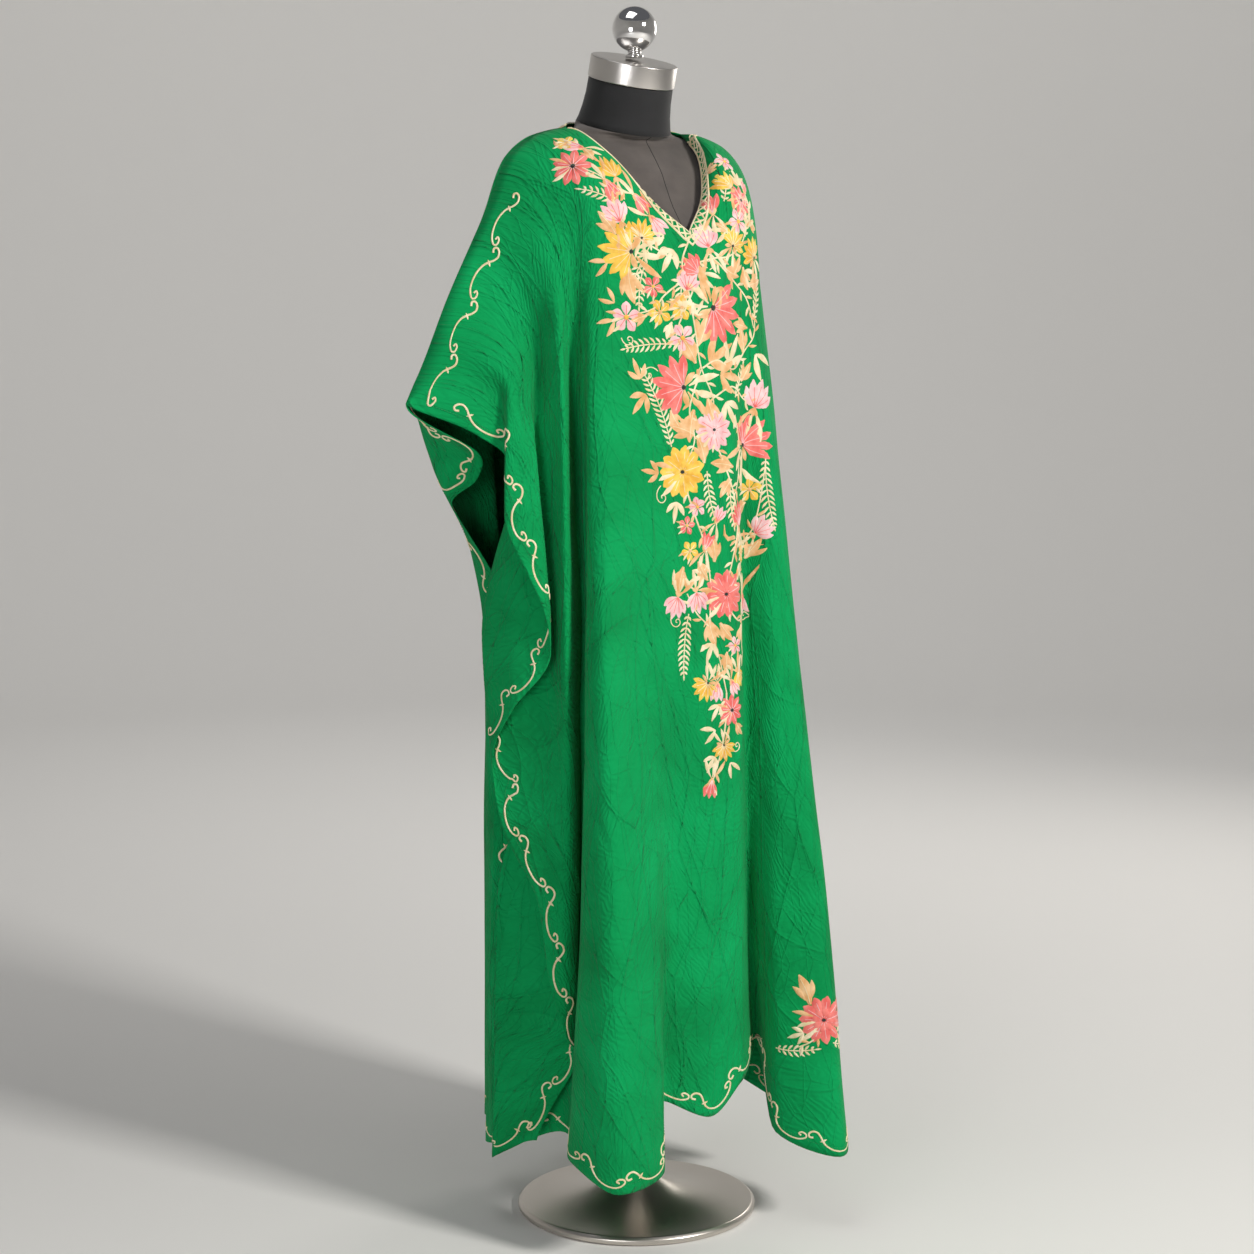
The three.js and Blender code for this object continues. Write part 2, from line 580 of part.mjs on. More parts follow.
const kaftan = new THREE.Group();
const pieces = [
  ["front", frontPanel(), CLOTH],
  ["back", backPanel(), CLOTH],
  ["form_torso", formTorso(), FORM_FABRIC],
  ["form_neck", formNeck(), NECK_FABRIC],
  ["neck_cap", neckCap(), BRUSHED_STEEL],
  ["finial", finial(), POLISHED_STEEL],
  ["pole", pole(), BRUSHED_STEEL],
  ["base", base(), BRUSHED_STEEL],
];
for (const [name, geometry, finish] of pieces) {
  const mesh = new THREE.Mesh(geometry, finish);
  mesh.name = name;
  kaftan.add(mesh);
}

export default kaftan;
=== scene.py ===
"""A green embroidered kaftan on a limbless dress form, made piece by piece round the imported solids."""

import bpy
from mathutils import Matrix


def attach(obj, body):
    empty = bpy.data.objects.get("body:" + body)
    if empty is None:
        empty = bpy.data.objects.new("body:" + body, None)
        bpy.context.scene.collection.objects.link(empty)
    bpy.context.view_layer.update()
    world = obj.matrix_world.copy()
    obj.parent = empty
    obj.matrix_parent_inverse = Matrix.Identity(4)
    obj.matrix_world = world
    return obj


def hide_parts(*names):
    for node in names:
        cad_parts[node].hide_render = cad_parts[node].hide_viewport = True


bl_info = {
    "name": "Kaftan on a dress form",
    "version": (1, 0, 0),
    "blender": (4, 5, 0),
    "location": "3D View > Sidebar > Kaftan",
    "description": "Makes the kaftan's cloth, its thread work, the dress form and its stand",
    "category": "Object",
}

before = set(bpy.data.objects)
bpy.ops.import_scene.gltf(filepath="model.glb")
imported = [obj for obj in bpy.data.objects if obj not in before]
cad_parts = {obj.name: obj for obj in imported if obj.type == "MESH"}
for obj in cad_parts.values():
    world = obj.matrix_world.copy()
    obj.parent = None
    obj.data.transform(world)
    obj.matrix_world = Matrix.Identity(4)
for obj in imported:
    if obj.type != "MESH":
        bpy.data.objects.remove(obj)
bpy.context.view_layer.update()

import math

import bpy
import numpy as np
from mathutils import Vector

MM = 0.001

# Heights, in millimetres, at which the fold tables give each fold's place in plan
LEVELS = {"yoke": 1240, "sleeve": 1090, "arm": 1010, "waist": 790, "knee": 450, "hem": 110}

# How far below the shoulder line, and below a sleeve's corner, the cloth settles into its folds
SHOULDER_DROP = 130
CORNER_DROP = 30
SHOULDER_ROUNDING = 0.5
SEAM_GAP = 0.3
NECK_REACH = 1 / 6

# The cloth laid flat, its thickness, and the turned hem's extra half thickness and depth
CLOTH_HALF = 550.0
CLOTH_LENGTH = 1340.0
CLOTH_THICKNESS = 0.9
HEM_EXTRA = 0.45
HEM_DEPTH = (11, 15)

# Grid of the back panel, columns and rows, and how the rows of both crowd towards the shoulder
BACK_GRID = ((90, 100), 160)
ROW_CROWDING = 1.3
TINY = 1e-9

# Neckline, shoulder and sleeve line: share of the half panel's width, then x, y and height
NECKLINE = [(0, 0, -105, 1300), (0.055, 47, -74, 1345), (0.12, 83, -20, 1405)]
SHOULDER = [(1 / 6, 95, 28, 1433), (0.25, 140, 28, 1424), (1 / 3, 187, 28, 1392)]
BACK_NECKLINE = [(0, 0, 96, 1446), (0.07, 45, 79, 1444), (0.13, 80, 47, 1438)]
RIGHT_SLEEVE = [(0.47, 214, 32, 1330), (0.7, 273, 35.5, 1215), (0.87, 306, 38, 1140), (1, 332, 40, 1088)]
LEFT_SLEEVE = [(0.47, 206, 42, 1330), (0.7, 222, 65, 1215), (0.87, 235, 82, 1130), (1, 245, 95, 1070)]

# Folds from the wearer's right sleeve edge to the left one: name, then x and y at each level, and the
# height of the hem there
FRONT_FOLDS = [
    ("right sleeve edge", (-262, 36), (-332, 40), (-290, 8), (-262, -20), (-262, -20), (-262, -20), 120),
    ("right sleeve flap", (-256, 0), (-268, -9), (-257, -15), (-243, -38), (-243, -38), (-243, -38), 120),
    ("flap valley", (-228, -12), (-235, -26), (-233, -36), (-235, -52), (-235, -52), (-235, -52), 120),
    ("outer strip crest", (-220, -21), (-233, -40), (-244, -48), (-256, -62), (-248, -55), (-248, -55), 120),
    ("outer strip", (-205, -27), (-216, -44), (-226, -60), (-233, -79), (-227, -71), (-227, -71), 120),
    ("outer turn", (-190, -27), (-197, -37), (-203, -58), (-199, -80), (-200, -72), (-200, -72), 120),
    ("return strip", (-183, -27), (-187, -32), (-202, -35), (-224, -28), (-217, -33), (-217, -33), 120),
    ("left turn", (-179, -30), (-181, -36), (-197, -18), (-230, 25), (-222, -5), (-222, -5), 120),
    ("side strip", (-178, -43), (-178, -51), (-179, -53), (-182, -51), (-197, -49), (-197, -49), 120),
    ("side tube", (-173, -57), (-174, -73), (-177, -80), (-180, -88), (-171, -77), (-177, -73), 125),
    ("inner turn", (-162, -61), (-146, -54), (-141, -52), (-142, -64), (-144, -62), (-149, -64), 128),
    ("corner strip", (-153, -62), (-141, -55), (-136, -52), (-136, -60), (-153, -23), (-181, -11), 130),
    ("far turn", (-147, -66), (-140, -62), (-135, -60), (-135, -66), (-197, 42), (-207, 43), 98),
    ("hidden run", (-142, -72), (-141, -76), (-140, -78), (-140, -86), (-135, -54), (-143, -31), 138),
    ("lobe outer side", (-135, -80), (-149, -93), (-156, -99), (-166, -109), (-175, -112), (-190, -105), 128),
    ("right lobe", (-118, -90), (-135, -108), (-144, -118), (-161, -138), (-164, -159), (-170, -180), 101),
    ("lobe inner side", (-75, -104), (-84, -116), (-90, -123), (-100, -132), (-91, -155), (-95, -177), 112),
    ("lobe valley", (-37, -113), (-40, -121), (-43, -124), (-46, -132), (-55, -135), (-65, -134), 190),
    ("centre", (0, -122), (0, -126), (0, -130), (0, -138), (0, -148), (0, -156), 162),
    ("centre lobe side", (42, -121), (48, -127), (51, -131), (55, -141), (55, -150), (51, -154), 198),
    ("deep valley", (80, -113), (90, -112), (92, -110), (95, -108), (98, -114), (130, -106), 225),
    ("left lobe inside", (108, -104), (115, -116), (116, -123), (118, -138), (108, -162), (100, -168), 126),
    ("left lobe", (134, -87), (142, -104), (144, -114), (148, -143), (156, -196), (148, -246), 102),
    ("left lobe outer side", (155, -60), (165, -78), (168, -84), (178, -105), (192, -140), (200, -185), 112),
    ("left side valley", (170, -30), (180, -45), (180, -50), (182, -62), (178, -75), (178, -95), 150),
    ("left side fold", (183, -5), (198, -18), (203, -20), (212, -25), (220, -30), (228, -40), 108),
    ("left flap valley", (192, 18), (205, 12), (202, 14), (196, 20), (190, 30), (190, 30), 145),
    ("left flap", (204, 36), (228, 45), (226, 48), (220, 55), (222, 68), (226, 74), 104),
    ("left sleeve edge", (215, 58), (242, 92), (233, 86), (226, 99.2), (220, 103.2), (218, 105.2), 112),
]
FRONT_CENTRE = 18

# Folds from the wearer's left sleeve edge to the right one
BACK_FOLDS = [
    ("left sleeve edge", (221, 64), (245, 97), (238, 104), (226, 100.8), (220, 104.8), (218, 106.8), 112),
    ("left flap", (214, 62), (226, 108), (222, 124), (212, 146), (210, 166), (208, 178), 104),
    ("left valley", (203, 66), (194, 92), (178, 96), (158, 108), (150, 86), (148, 84), 112),
    ("left crest", (182, 86), (158, 142), (142, 158), (126, 188), (124, 204), (122, 222), 104),
    ("left inner valley", (112, 112), (94, 106), (80, 106), (74, 130), (66, 96), (62, 92), 112),
    ("centre back", (20, 124), (20, 154), (18, 166), (14, 196), (8, 212), (4, 232), 105),
    ("right inner valley", (-80, 119), (-62, 108), (-48, 108), (-54, 134), (-58, 98), (-62, 94), 113),
    ("right crest", (-150, 104), (-138, 144), (-122, 158), (-112, 179), (-118, 184), (-116, 188), 104),
    ("right valley", (-190, 78), (-178, 98), (-162, 98), (-146, 104), (-146, 82), (-142, 80), 112),
    ("right side fold", (-214, 62), (-228, 94), (-206, 96), (-180, 86), (-178, 92), (-180, 92), 104),
    ("right side edge", (-236, 52), (-266, 78), (-243, 80), (-202, 60), (-192, 60), (-194, 62), 110),
    ("wing turn", (-254, 46), (-302, 60), (-276, 67), (-186, 14), (-168, 32), (-168, 34), 118),
    ("right sleeve edge", (-262, 40), (-332, 41), (-236, -6), (-180, 0), (-160, 20), (-160, 20), 118),
]
BACK_CENTRE = 5

# How far each panel reaches sideways, in folds from its centre, at each height
FRONT_RIGHT_EDGE = [
    (110, 7), (140, 7.1), (245, 8), (280, 9), (360, 9.7), (450, 10), (550, 10.8),
    (630, 11.2), (780, 13), (850, 13.6), (945, 15), (1020, 16), (1050, 17), (1088, 18),
]
FRONT_LEFT_EDGE = [(110, 10), (1070, 10)]
BACK_RIGHT_EDGE = [(110, 6), (950, 6), (990, 6.7), (1030, 7)]
BACK_LEFT_EDGE = [(110, 5), (1070, 5)]


def srgb(code):
    """A colour code as the linear values that a shader reads."""
    parts = [int(code[i:i + 2], 16) / 255 for i in (0, 2, 4)]
    return tuple(c / 12.92 if c <= 0.04045 else ((c + 0.055) / 1.055) ** 2.4 for c in parts)


# Curves through tables


def gentle_slopes(xs, ys):
    """Slopes at the knots that keep a curve within its table's rises and falls."""
    chord = np.diff(ys) / np.diff(xs)
    slopes = np.zeros(len(xs))
    slopes[0], slopes[-1] = chord[0], chord[-1]
    for i in range(1, len(xs) - 1):
        a, b = chord[i - 1], chord[i]
        slopes[i] = 2 * a * b / (a + b) if a * b > 0 else 0.0
    return slopes


def hermite(s, start, out, end, into):
    """A cubic between two values that leaves and arrives with the given slopes."""
    s2, s3 = s * s, s * s * s
    return (
        (2 * s3 - 3 * s2 + 1) * start
        + (s3 - 2 * s2 + s) * out
        + (3 * s2 - 2 * s3) * end
        + (s3 - s2) * into
    )


def gentle_curve(xs, ys):
    """A smooth curve through a table that never overshoots it, for arrays."""
    xs, ys = np.array(xs, float), np.array(ys, float)
    slopes = gentle_slopes(xs, ys)

    def curve(x):
        at = np.clip(x, xs[0], xs[-1])
        i = np.clip(np.searchsorted(xs, at, side="left") - 1, 0, len(xs) - 2)
        step = xs[i + 1] - xs[i]
        return hermite((at - xs[i]) / step, ys[i], step * slopes[i], ys[i + 1], step * slopes[i + 1])

    return curve


def smoothstep(x, low, high):
    """A soft step from nought to one between two values."""
    s = np.clip((x - low) / (high - low), 0, 1)
    return s * s * (3 - 2 * s)


def unit(vectors):
    """The vectors at a length of one."""
    return vectors / np.maximum(np.linalg.norm(vectors, axis=-1, keepdims=True), TINY)


def rise_along(normal):
    """The direction within the cloth's surface that climbs most steeply."""
    return unit(np.array([0.0, 0.0, 1.0]) - normal * normal[..., 2:3])


def left_of(way):
    """The ways turned a quarter to the left."""
    return np.stack([-way[:, 1], way[:, 0]], -1)


class Cloth:
    """A panel's middle surface as a fine grid, with its outward normals, in millimetres."""

    def __init__(self, folds, centre, edges, tops, seam_shift, columns, rows, crowding, creases):
        self.folds = folds
        self.centre = centre
        self.edges = [gentle_curve(*zip(*table)) for table in edges]
        self.tops = [[gentle_curve([r[0] for r in t], [r[c] for r in t]) for c in (1, 2, 3)] for t in tops]
        self.seam_shift = seam_shift
        first = -np.arange(columns[0], 0, -1) / columns[0]
        last = np.arange(columns[1] + 1) / columns[1]
        self.across = np.concatenate([first, last])
        self.down = (np.arange(rows + 1) / rows) ** crowding
        self.crowding = crowding
        self.rows = rows
        self.columns = columns
        self.points = self.middle_surface()
        self.set_normals()
        self.work_creases(creases)
        self.set_normals()

    def middle_surface(self):
        """The grid's points: along the folds at each height, drawn in towards the shoulder line."""
        across, down = np.meshgrid(self.across, self.down)
        share = np.abs(across)
        left = across < 0

        def pick(first, last):
            return np.where(left, first, last)

        top = [pick(self.tops[0][c](share), self.tops[1][c](share)) for c in range(3)]
        heights = list(LEVELS.values())[::-1]
        order = np.arange(len(self.folds))
        hem_curve = gentle_curve(order, [row[-1] for row in self.folds])
        hem_reach = pick(self.edges[0](LEVELS["hem"]), self.edges[1](LEVELS["hem"]))
        side = pick(-1, 1)
        hem = hem_curve(self.centre + side * share * hem_reach)
        height = top[2] + (hem - top[2]) * down
        fold = self.centre + side * share * pick(self.edges[0](height), self.edges[1](height))
        last = len(self.folds) - 1
        i = np.clip(np.floor(fold).astype(int), 0, last - 1)
        s = fold - i
        curves = [
            [gentle_curve(heights, [row[k][c] for k in range(6, 0, -1)]) for c in (0, 1)]
            for row in self.folds
        ]
        table = np.array([[curve(height) for curve in pair] for pair in curves])

        def knot(index):
            inside = np.clip(index, 0, last)
            return np.stack([np.take_along_axis(table[:, c], inside[None], 0)[0] for c in (0, 1)], -1)

        p1, p2 = knot(i), knot(i + 1)
        p0 = np.where((i > 0)[..., None], knot(i - 1), 2 * p1 - p2)
        p3 = np.where((i + 2 <= last)[..., None], knot(i + 2), 2 * p2 - p1)

        def gap(a, b):
            return np.sqrt(np.maximum(np.linalg.norm(a - b, axis=-1), 0.5))[..., None]

        d0, d1, d2 = gap(p0, p1), gap(p1, p2), gap(p2, p3)
        out = d1 * ((p1 - p0) / d0 - (p2 - p0) / (d0 + d1) + (p2 - p1) / d1)
        into = d1 * ((p2 - p1) / d1 - (p3 - p1) / (d1 + d2) + (p3 - p2) / d2)
        plan = hermite(s[..., None], p1, out, p2, into)
        drop = SHOULDER_DROP + (CORNER_DROP - SHOULDER_DROP) * smoothstep(share, 0.5, 1)
        rest = 1 - np.minimum((top[2] - height) / drop, 1)
        settled = np.maximum(1 - rest * rest, 0) ** SHOULDER_ROUNDING
        x = top[0] + (plan[..., 0] - top[0]) * settled
        y = top[1] + self.seam_shift
        y = y + (plan[..., 1] - y) * settled
        return np.stack([x, y, height], -1)

    def set_normals(self):
        """The outward normals, and the slopes of the points by across and by down."""

        def slope(points, axis):
            return np.gradient(points, axis=axis)

        self.normals = unit(np.cross(slope(self.points, 0), slope(self.points, 1)))
        self.along_across = slope(self.points, 1) / slope(self.across, 0)[None, :, None]
        self.along_down = slope(self.points, 0) / slope(self.down, 0)[:, None, None]

    def flat_places(self):
        """Each grid point's place on the cloth laid flat, across and down, in millimetres."""
        return np.meshgrid(self.across * CLOTH_HALF, self.down * CLOTH_LENGTH)

    def work_creases(self, creases):
        """Soft waves all over the cloth, then each pressed crease as a shallow ridge or trough."""
        u, v = self.flat_places()
        free = smoothstep(v, 60, 420)
        lift = 0.9 * np.sin(u / 23 + 1.7 * np.sin(v / 310)) * np.sin(v / 97 + 0.8 * np.sin(u / 61))
        lift += 0.35 * np.sin(u / 11.3 + 2.2 * np.sin(v / 173 + 1.1)) * np.sin(v / 41 + u / 90)
        lift *= 0.35 + 0.65 * free
        for x0, y0, x1, y1, depth, spread in creases:
            run, fall = x1 - x0, y1 - y0
            size = math.hypot(run, fall)
            t = ((u - x0) * run + (v - y0) * fall) / size**2
            off = ((u - x0) * fall - (v - y0) * run) / size
            off = off + 3.0 * np.sin(t * 7 + x0)
            ends = smoothstep(t, 0, 0.22) * (1 - smoothstep(t, 0.78, 1))
            lift += depth * np.exp(-(off / spread) ** 2) * ends
        seat = smoothstep(v, 6, 60)
        self.points = self.points + self.normals * (lift * seat)[..., None]

    def grid_place(self, across, down):
        """Fractional grid indices of a place on the panel."""
        row = np.clip(down, 0, 1) ** (1 / self.crowding) * self.rows
        first, last = self.columns
        column = first + np.where(across < 0, across * first, across * last)
        return np.clip(row, 0, self.rows - 1e-6), np.clip(column, 0, first + last - 1e-6)

    def sample(self, field, across, down):
        """A field's value between the grid points."""
        row, column = self.grid_place(np.asarray(across, float), np.asarray(down, float))
        i, j = row.astype(int), column.astype(int)
        s, t = (row - i)[..., None], (column - j)[..., None]
        upper = field[i, j] * (1 - t) + field[i, j + 1] * t
        lower = field[i + 1, j] * (1 - t) + field[i + 1, j + 1] * t
        return upper * (1 - s) + lower * s

    def place(self, across, down):
        return self.sample(self.points, across, down)

    def normal(self, across, down):
        return unit(self.sample(self.normals, across, down))

    def metric(self, across, down):
        """Millimetres right and up along the cloth for each unit of across and down."""
        a = self.sample(self.along_across, across, down)
        d = self.sample(self.along_down, across, down)
        n = self.normal(across, down)
        up = rise_along(n)
        right = np.cross(up, n)
        dots = [[np.sum(v * w, axis=-1) for v in (a, d)] for w in (right, up)]
        return np.moveaxis(np.array(dots), (0, 1), (-2, -1))

    def heading(self, path):
        """The metric at each place of a path, and the way that the path runs there."""
        metric = self.metric(path[:, 0], path[:, 1])
        return metric, unit(np.einsum("nij,nj->ni", metric, np.gradient(path, axis=0)))

    def beside(self, path):
        """The step on the panel for each millimetre to the left of a path."""
        metric, way = self.heading(path)
        return np.linalg.solve(metric, left_of(way)[..., None])[..., 0]

    @staticmethod
    def inside(path):
        """The path with its places kept on the panel."""
        return np.stack([np.clip(path[..., 0], -1, 1), np.clip(path[..., 1], 0, 1)], -1)

    def find(self, x, height, reach=0.45):
        """The place on the panel's middle part that lies at this x and height."""
        middle = np.abs(self.across) < reach
        flat = (self.points[..., 0] - x) ** 2 + (self.points[..., 2] - height) ** 2
        flat = np.where(middle[None, :], flat, np.inf)
        i, j = np.unravel_index(np.argmin(flat), flat.shape)
        across, down = self.across[j], self.down[i]
        for _ in range(4):
            here = self.place(across, down)
            a = self.sample(self.along_across, across, down)
            d = self.sample(self.along_down, across, down)
            matrix = np.array([[a[0], d[0]], [a[2], d[2]]])
            step = np.linalg.solve(matrix, [x - here[0], height - here[2]])
            across, down = across + step[0], down + step[1]
        return across, down

    def local(self, across, down, right, up):
        """Places that lie right and up, in millimetres along the cloth, of one place."""
        home, n = self.place(across, down), self.normal(across, down)
        rise = rise_along(n)
        axes = np.stack([np.cross(rise, n), rise])
        goal = np.stack([right, up], -1)
        place = np.stack([across + 0 * goal[:, 0], down + 0 * goal[:, 0]], -1)
        for _ in range(6):
            off = goal - (self.place(place[:, 0], place[:, 1]) - home) @ axes.T
            a = self.sample(self.along_across, place[:, 0], place[:, 1]) @ axes.T
            d = self.sample(self.along_down, place[:, 0], place[:, 1]) @ axes.T
            matrix = np.stack([a, d], -1)
            step = np.linalg.solve(matrix, off[..., None])[..., 0]
            place = self.inside(place + np.clip(step, -0.03, 0.03))
        return place[:, 0], place[:, 1]


# Pressed creases: x and distance down the cloth at each end, height of the ridge and its spread
FRONT_CREASES = [
    (-150, 520, 30, 900, -1.3, 4.5),
    (40, 470, -170, 1010, 1.2, 5.0),
    (-60, 760, 150, 1180, -1.3, 4.5),
    (120, 700, -110, 1230, 1.3, 5.0),
    (-230, 700, -60, 1190, -1.2, 5.0),
    (-20, 980, -220, 1320, 1.2, 4.5),
    (60, 930, 190, 1290, -1.2, 4.5),
    (200, 560, 90, 1060, 1.1, 5.0),
    (-330, 280, -180, 800, 1.1, 5.5),
    (-180, 330, -300, 860, -1.1, 5.0),
    (-430, 120, -330, 480, 1.0, 4.5),
    (-500, 210, -390, 90, -1.0, 4.0),
    (-120, 180, -250, 520, 0.9, 5.0),
    (-100, 340, -30, 620, -0.8, 5.0),
    (150, 300, 70, 660, 0.9, 5.0),
    (-380, 600, -250, 1020, -1.2, 5.0),
    (-480, 760, -360, 1180, 1.1, 5.0),
    (-540, 900, -430, 1250, -1.1, 4.5),
    (260, 500, 340, 1000, 1.2, 5.0),
    (380, 420, 270, 930, -1.2, 5.0),
    (330, 860, 470, 1260, 1.1, 4.5),
    (520, 500, 400, 980, -1.1, 5.0),
    (-80, 1090, 120, 1330, 1.0, 4.0),
    (10, 650, 130, 790, 1.0, 4.0),
]
BACK_CREASES = [
    (-200, 200, 60, 640, 1.2, 5.0),
    (180, 240, -80, 760, -1.2, 5.0),
    (-300, 520, -60, 980, -1.3, 4.5),
    (290, 470, 70, 1010, 1.2, 5.0),
    (-40, 760, 170, 1240, -1.2, 4.5),
    (60, 880, -190, 1290, 1.3, 5.0),
    (-420, 380, -280, 860, 1.1, 5.0),
    (420, 420, 300, 900, -1.1, 5.0),
    (-440, 820, -250, 1260, -1.2, 4.5),
    (400, 860, 250, 1300, 1.1, 4.5),
    (-120, 120, 40, 380, 0.8, 5.0),
    (500, 600, 430, 1120, 1.0, 5.0),
]


def mirrored(rows):
    """A shoulder line's table for the wearer's other side."""
    return [(reach, -x, y, z) for reach, x, y, z in rows]


def front_cloth(columns, rows):
    """The front panel, whose first half is the wearer's right one."""
    return Cloth(
        FRONT_FOLDS, FRONT_CENTRE, (FRONT_RIGHT_EDGE, FRONT_LEFT_EDGE),
        (mirrored(NECKLINE + SHOULDER + RIGHT_SLEEVE), NECKLINE + SHOULDER + LEFT_SLEEVE),
        -SEAM_GAP / 2, columns, rows, ROW_CROWDING, FRONT_CREASES,
    )


def back_cloth(columns, rows):
    """The back panel, whose first half is the wearer's left one."""
    return Cloth(
        BACK_FOLDS, BACK_CENTRE, (BACK_LEFT_EDGE, BACK_RIGHT_EDGE),
        (BACK_NECKLINE + SHOULDER + LEFT_SLEEVE, mirrored(BACK_NECKLINE + SHOULDER + RIGHT_SLEEVE)),
        SEAM_GAP / 2, columns, rows, ROW_CROWDING, BACK_CREASES,
    )


# Materials

BLACK = (0, 0, 0)
WHITE = (1, 1, 1)

# A pressed crease from its line outwards: distance and brightness
CREASE_PROFILE = [(0.0, WHITE), (0.012, (0.35, 0.35, 0.35)), (0.04, BLACK)]


class Finish:
    """A node material that is built a step at a time."""

    def __init__(self, name, colour, roughness, metallic=0.0):
        self.material = bpy.data.materials.new(name)
        self.material.use_nodes = True
        self.nodes = self.material.node_tree.nodes
        self.links = self.material.node_tree.links
        self.shader = self.nodes["Principled BSDF"]
        self.set(self.shader, **{"Base Color": (*colour, 1), "Roughness": roughness, "Metallic": metallic})
        self.places = self.nodes.new("ShaderNodeTexCoord")

    @staticmethod
    def set(node, **values):
        """Give a node's sockets their values."""
        for socket, value in values.items():
            node.inputs[socket].default_value = value

    def join(self, source, target, socket):
        """Link an output to a node's socket."""
        self.links.new(source, target.inputs[socket])

    def mapped(self, scale=(1, 1, 1), turn=0.0, kind="Object"):
        """Places on the piece, or on its flat cloth, stretched and turned."""
        node = self.nodes.new("ShaderNodeMapping")
        self.set(node, Scale=scale, Rotation=(0, 0, turn))
        self.join(self.places.outputs[kind], node, "Vector")
        return node.outputs[0]

    def noise(self, vector, scale, detail=2.0, roughness=0.5, distortion=0.0):
        node = self.nodes.new("ShaderNodeTexNoise")
        self.set(node, Scale=scale, Detail=detail, Roughness=roughness, Distortion=distortion)
        self.join(vector, node, "Vector")
        return node.outputs["Fac"]

    def wave(self, vector, scale, distortion=0.0, detail=1.0, direction="X"):
        node = self.nodes.new("ShaderNodeTexWave")
        node.bands_direction = direction
        self.set(node, Scale=scale, Distortion=distortion, Detail=detail)
        self.join(vector, node, "Vector")
        return node.outputs["Fac"]

    def creases(self, vector, scale, seed):
        """Thin lines between the cells of a bent pattern."""
        shift = self.nodes.new("ShaderNodeVectorMath")
        shift.operation = "ADD"
        shift.inputs[1].default_value = (seed, seed * 0.7, 0)
        self.join(vector, shift, 0)
        node = self.nodes.new("ShaderNodeTexVoronoi")
        node.feature = "DISTANCE_TO_EDGE"
        node.voronoi_dimensions = "2D"
        self.set(node, Scale=scale)
        self.join(shift.outputs[0], node, "Vector")
        return self.ramp(node.outputs["Distance"], CREASE_PROFILE)

    def ramp(self, source, stops):
        """A colour ramp with a stop for each position and colour."""
        node = self.nodes.new("ShaderNodeValToRGB")
        elements = node.color_ramp.elements
        while len(elements) < len(stops):
            elements.new(0.5)
        for element, (position, colour) in zip(elements, stops):
            element.position = position
            element.color = (*colour, 1)
        self.join(source, node, "Fac")
        return node.outputs["Color"]

    def blended(self, share, first, second):
        """One value turning into another as the share goes from nought to one."""
        node = self.nodes.new("ShaderNodeMix")
        for source, socket in ((share, 0), (first, 2), (second, 3)):
            self.links.new(source, node.inputs[socket])
        return node.outputs[0]

    def bump(self, height, strength, distance, before=None):
        """A relief from a height, laid over the relief before it."""
        node = self.nodes.new("ShaderNodeBump")
        self.set(node, Strength=strength, Distance=distance)
        self.join(height, node, "Height")
        if before is not None:
            self.join(before, node, "Normal")
        return node.outputs["Normal"]

    def coloured(self, colour):
        self.join(colour, self.shader, "Base Color")

    def shaped(self, normal):
        self.join(normal, self.shader, "Normal")


# Layers of pressed creases: turn of the pattern, its scale, its start and the creases' depth
CREASE_LAYERS = [
    (0.55, 5.2, 3.1, 0.0026),
    (-0.6, 4.4, 8.7, 0.0026),
    (0.42, 15.0, 5.3, 0.0012),
    (-0.5, 19.0, 1.9, 0.0012),
]

# The crepe's fine hatch in its two directions: turn, bands to a metre and their bend
HATCH = [(0.72, 44.0, 9.0), (-0.68, 40.0, 10.0)]


def cloth_finish(name, dark, mid, light):
    """Crinkled cotton: a hatched crepe, softer ripples and a network of long pressed creases."""
    finish = Finish(name, mid, 0.78)
    finish.set(finish.shader, **{"Sheen Weight": 0.04, "Sheen Roughness": 0.5, "Specular IOR Level": 0.08})
    cloth = finish.mapped(kind="UV")
    patches = finish.noise(cloth, 7.0, 3.0, 0.6)
    finish.coloured(finish.ramp(patches, [(0.3, dark), (0.5, mid), (0.72, light)]))
    ripples = finish.noise(finish.mapped((1.0, 0.3, 1.0), 0.25, "UV"), 48.0, 3.0, 0.5, 0.6)
    hatches = []
    for turn, bands, bend in HATCH:
        hatches.append(finish.wave(finish.mapped(turn=turn, kind="UV"), bands, bend, 2.0))
    fields = finish.ramp(finish.noise(cloth, 13.0), [(0.46, BLACK), (0.54, WHITE)])
    weave = finish.noise(cloth, 900.0)
    normal = finish.bump(ripples, 0.55, 0.0035)
    for turn, scale, seed, depth in CREASE_LAYERS:
        lines = finish.creases(finish.mapped((2.6, 0.8, 1.0), turn, "UV"), scale, seed)
        normal = finish.bump(lines, 0.6, depth, normal)
    normal = finish.bump(finish.blended(fields, *hatches), 0.5, 0.0011, normal)
    finish.shaped(finish.bump(weave, 0.3, 0.0002, normal))
    return finish.material


def thread_finish(name, dark, light):
    """Filled chain stitch: ridges that run along each strip, with small links across them."""
    finish = Finish(name, light, 0.55)
    finish.set(finish.shader, **{"Sheen Weight": 0.3, "Sheen Roughness": 0.35})
    along = finish.mapped(kind="UV")
    ridges = finish.wave(along, 420.0, 0.4, 1.0, "Y")
    links = finish.wave(along, 300.0, 1.2, 1.0, "X")
    tone = finish.noise(finish.mapped(), 70.0)
    finish.coloured(finish.ramp(tone, [(0.35, dark), (0.65, light)]))
    normal = finish.bump(ridges, 0.6, 0.0005)
    finish.shaped(finish.bump(links, 0.35, 0.0003, normal))
    return finish.material


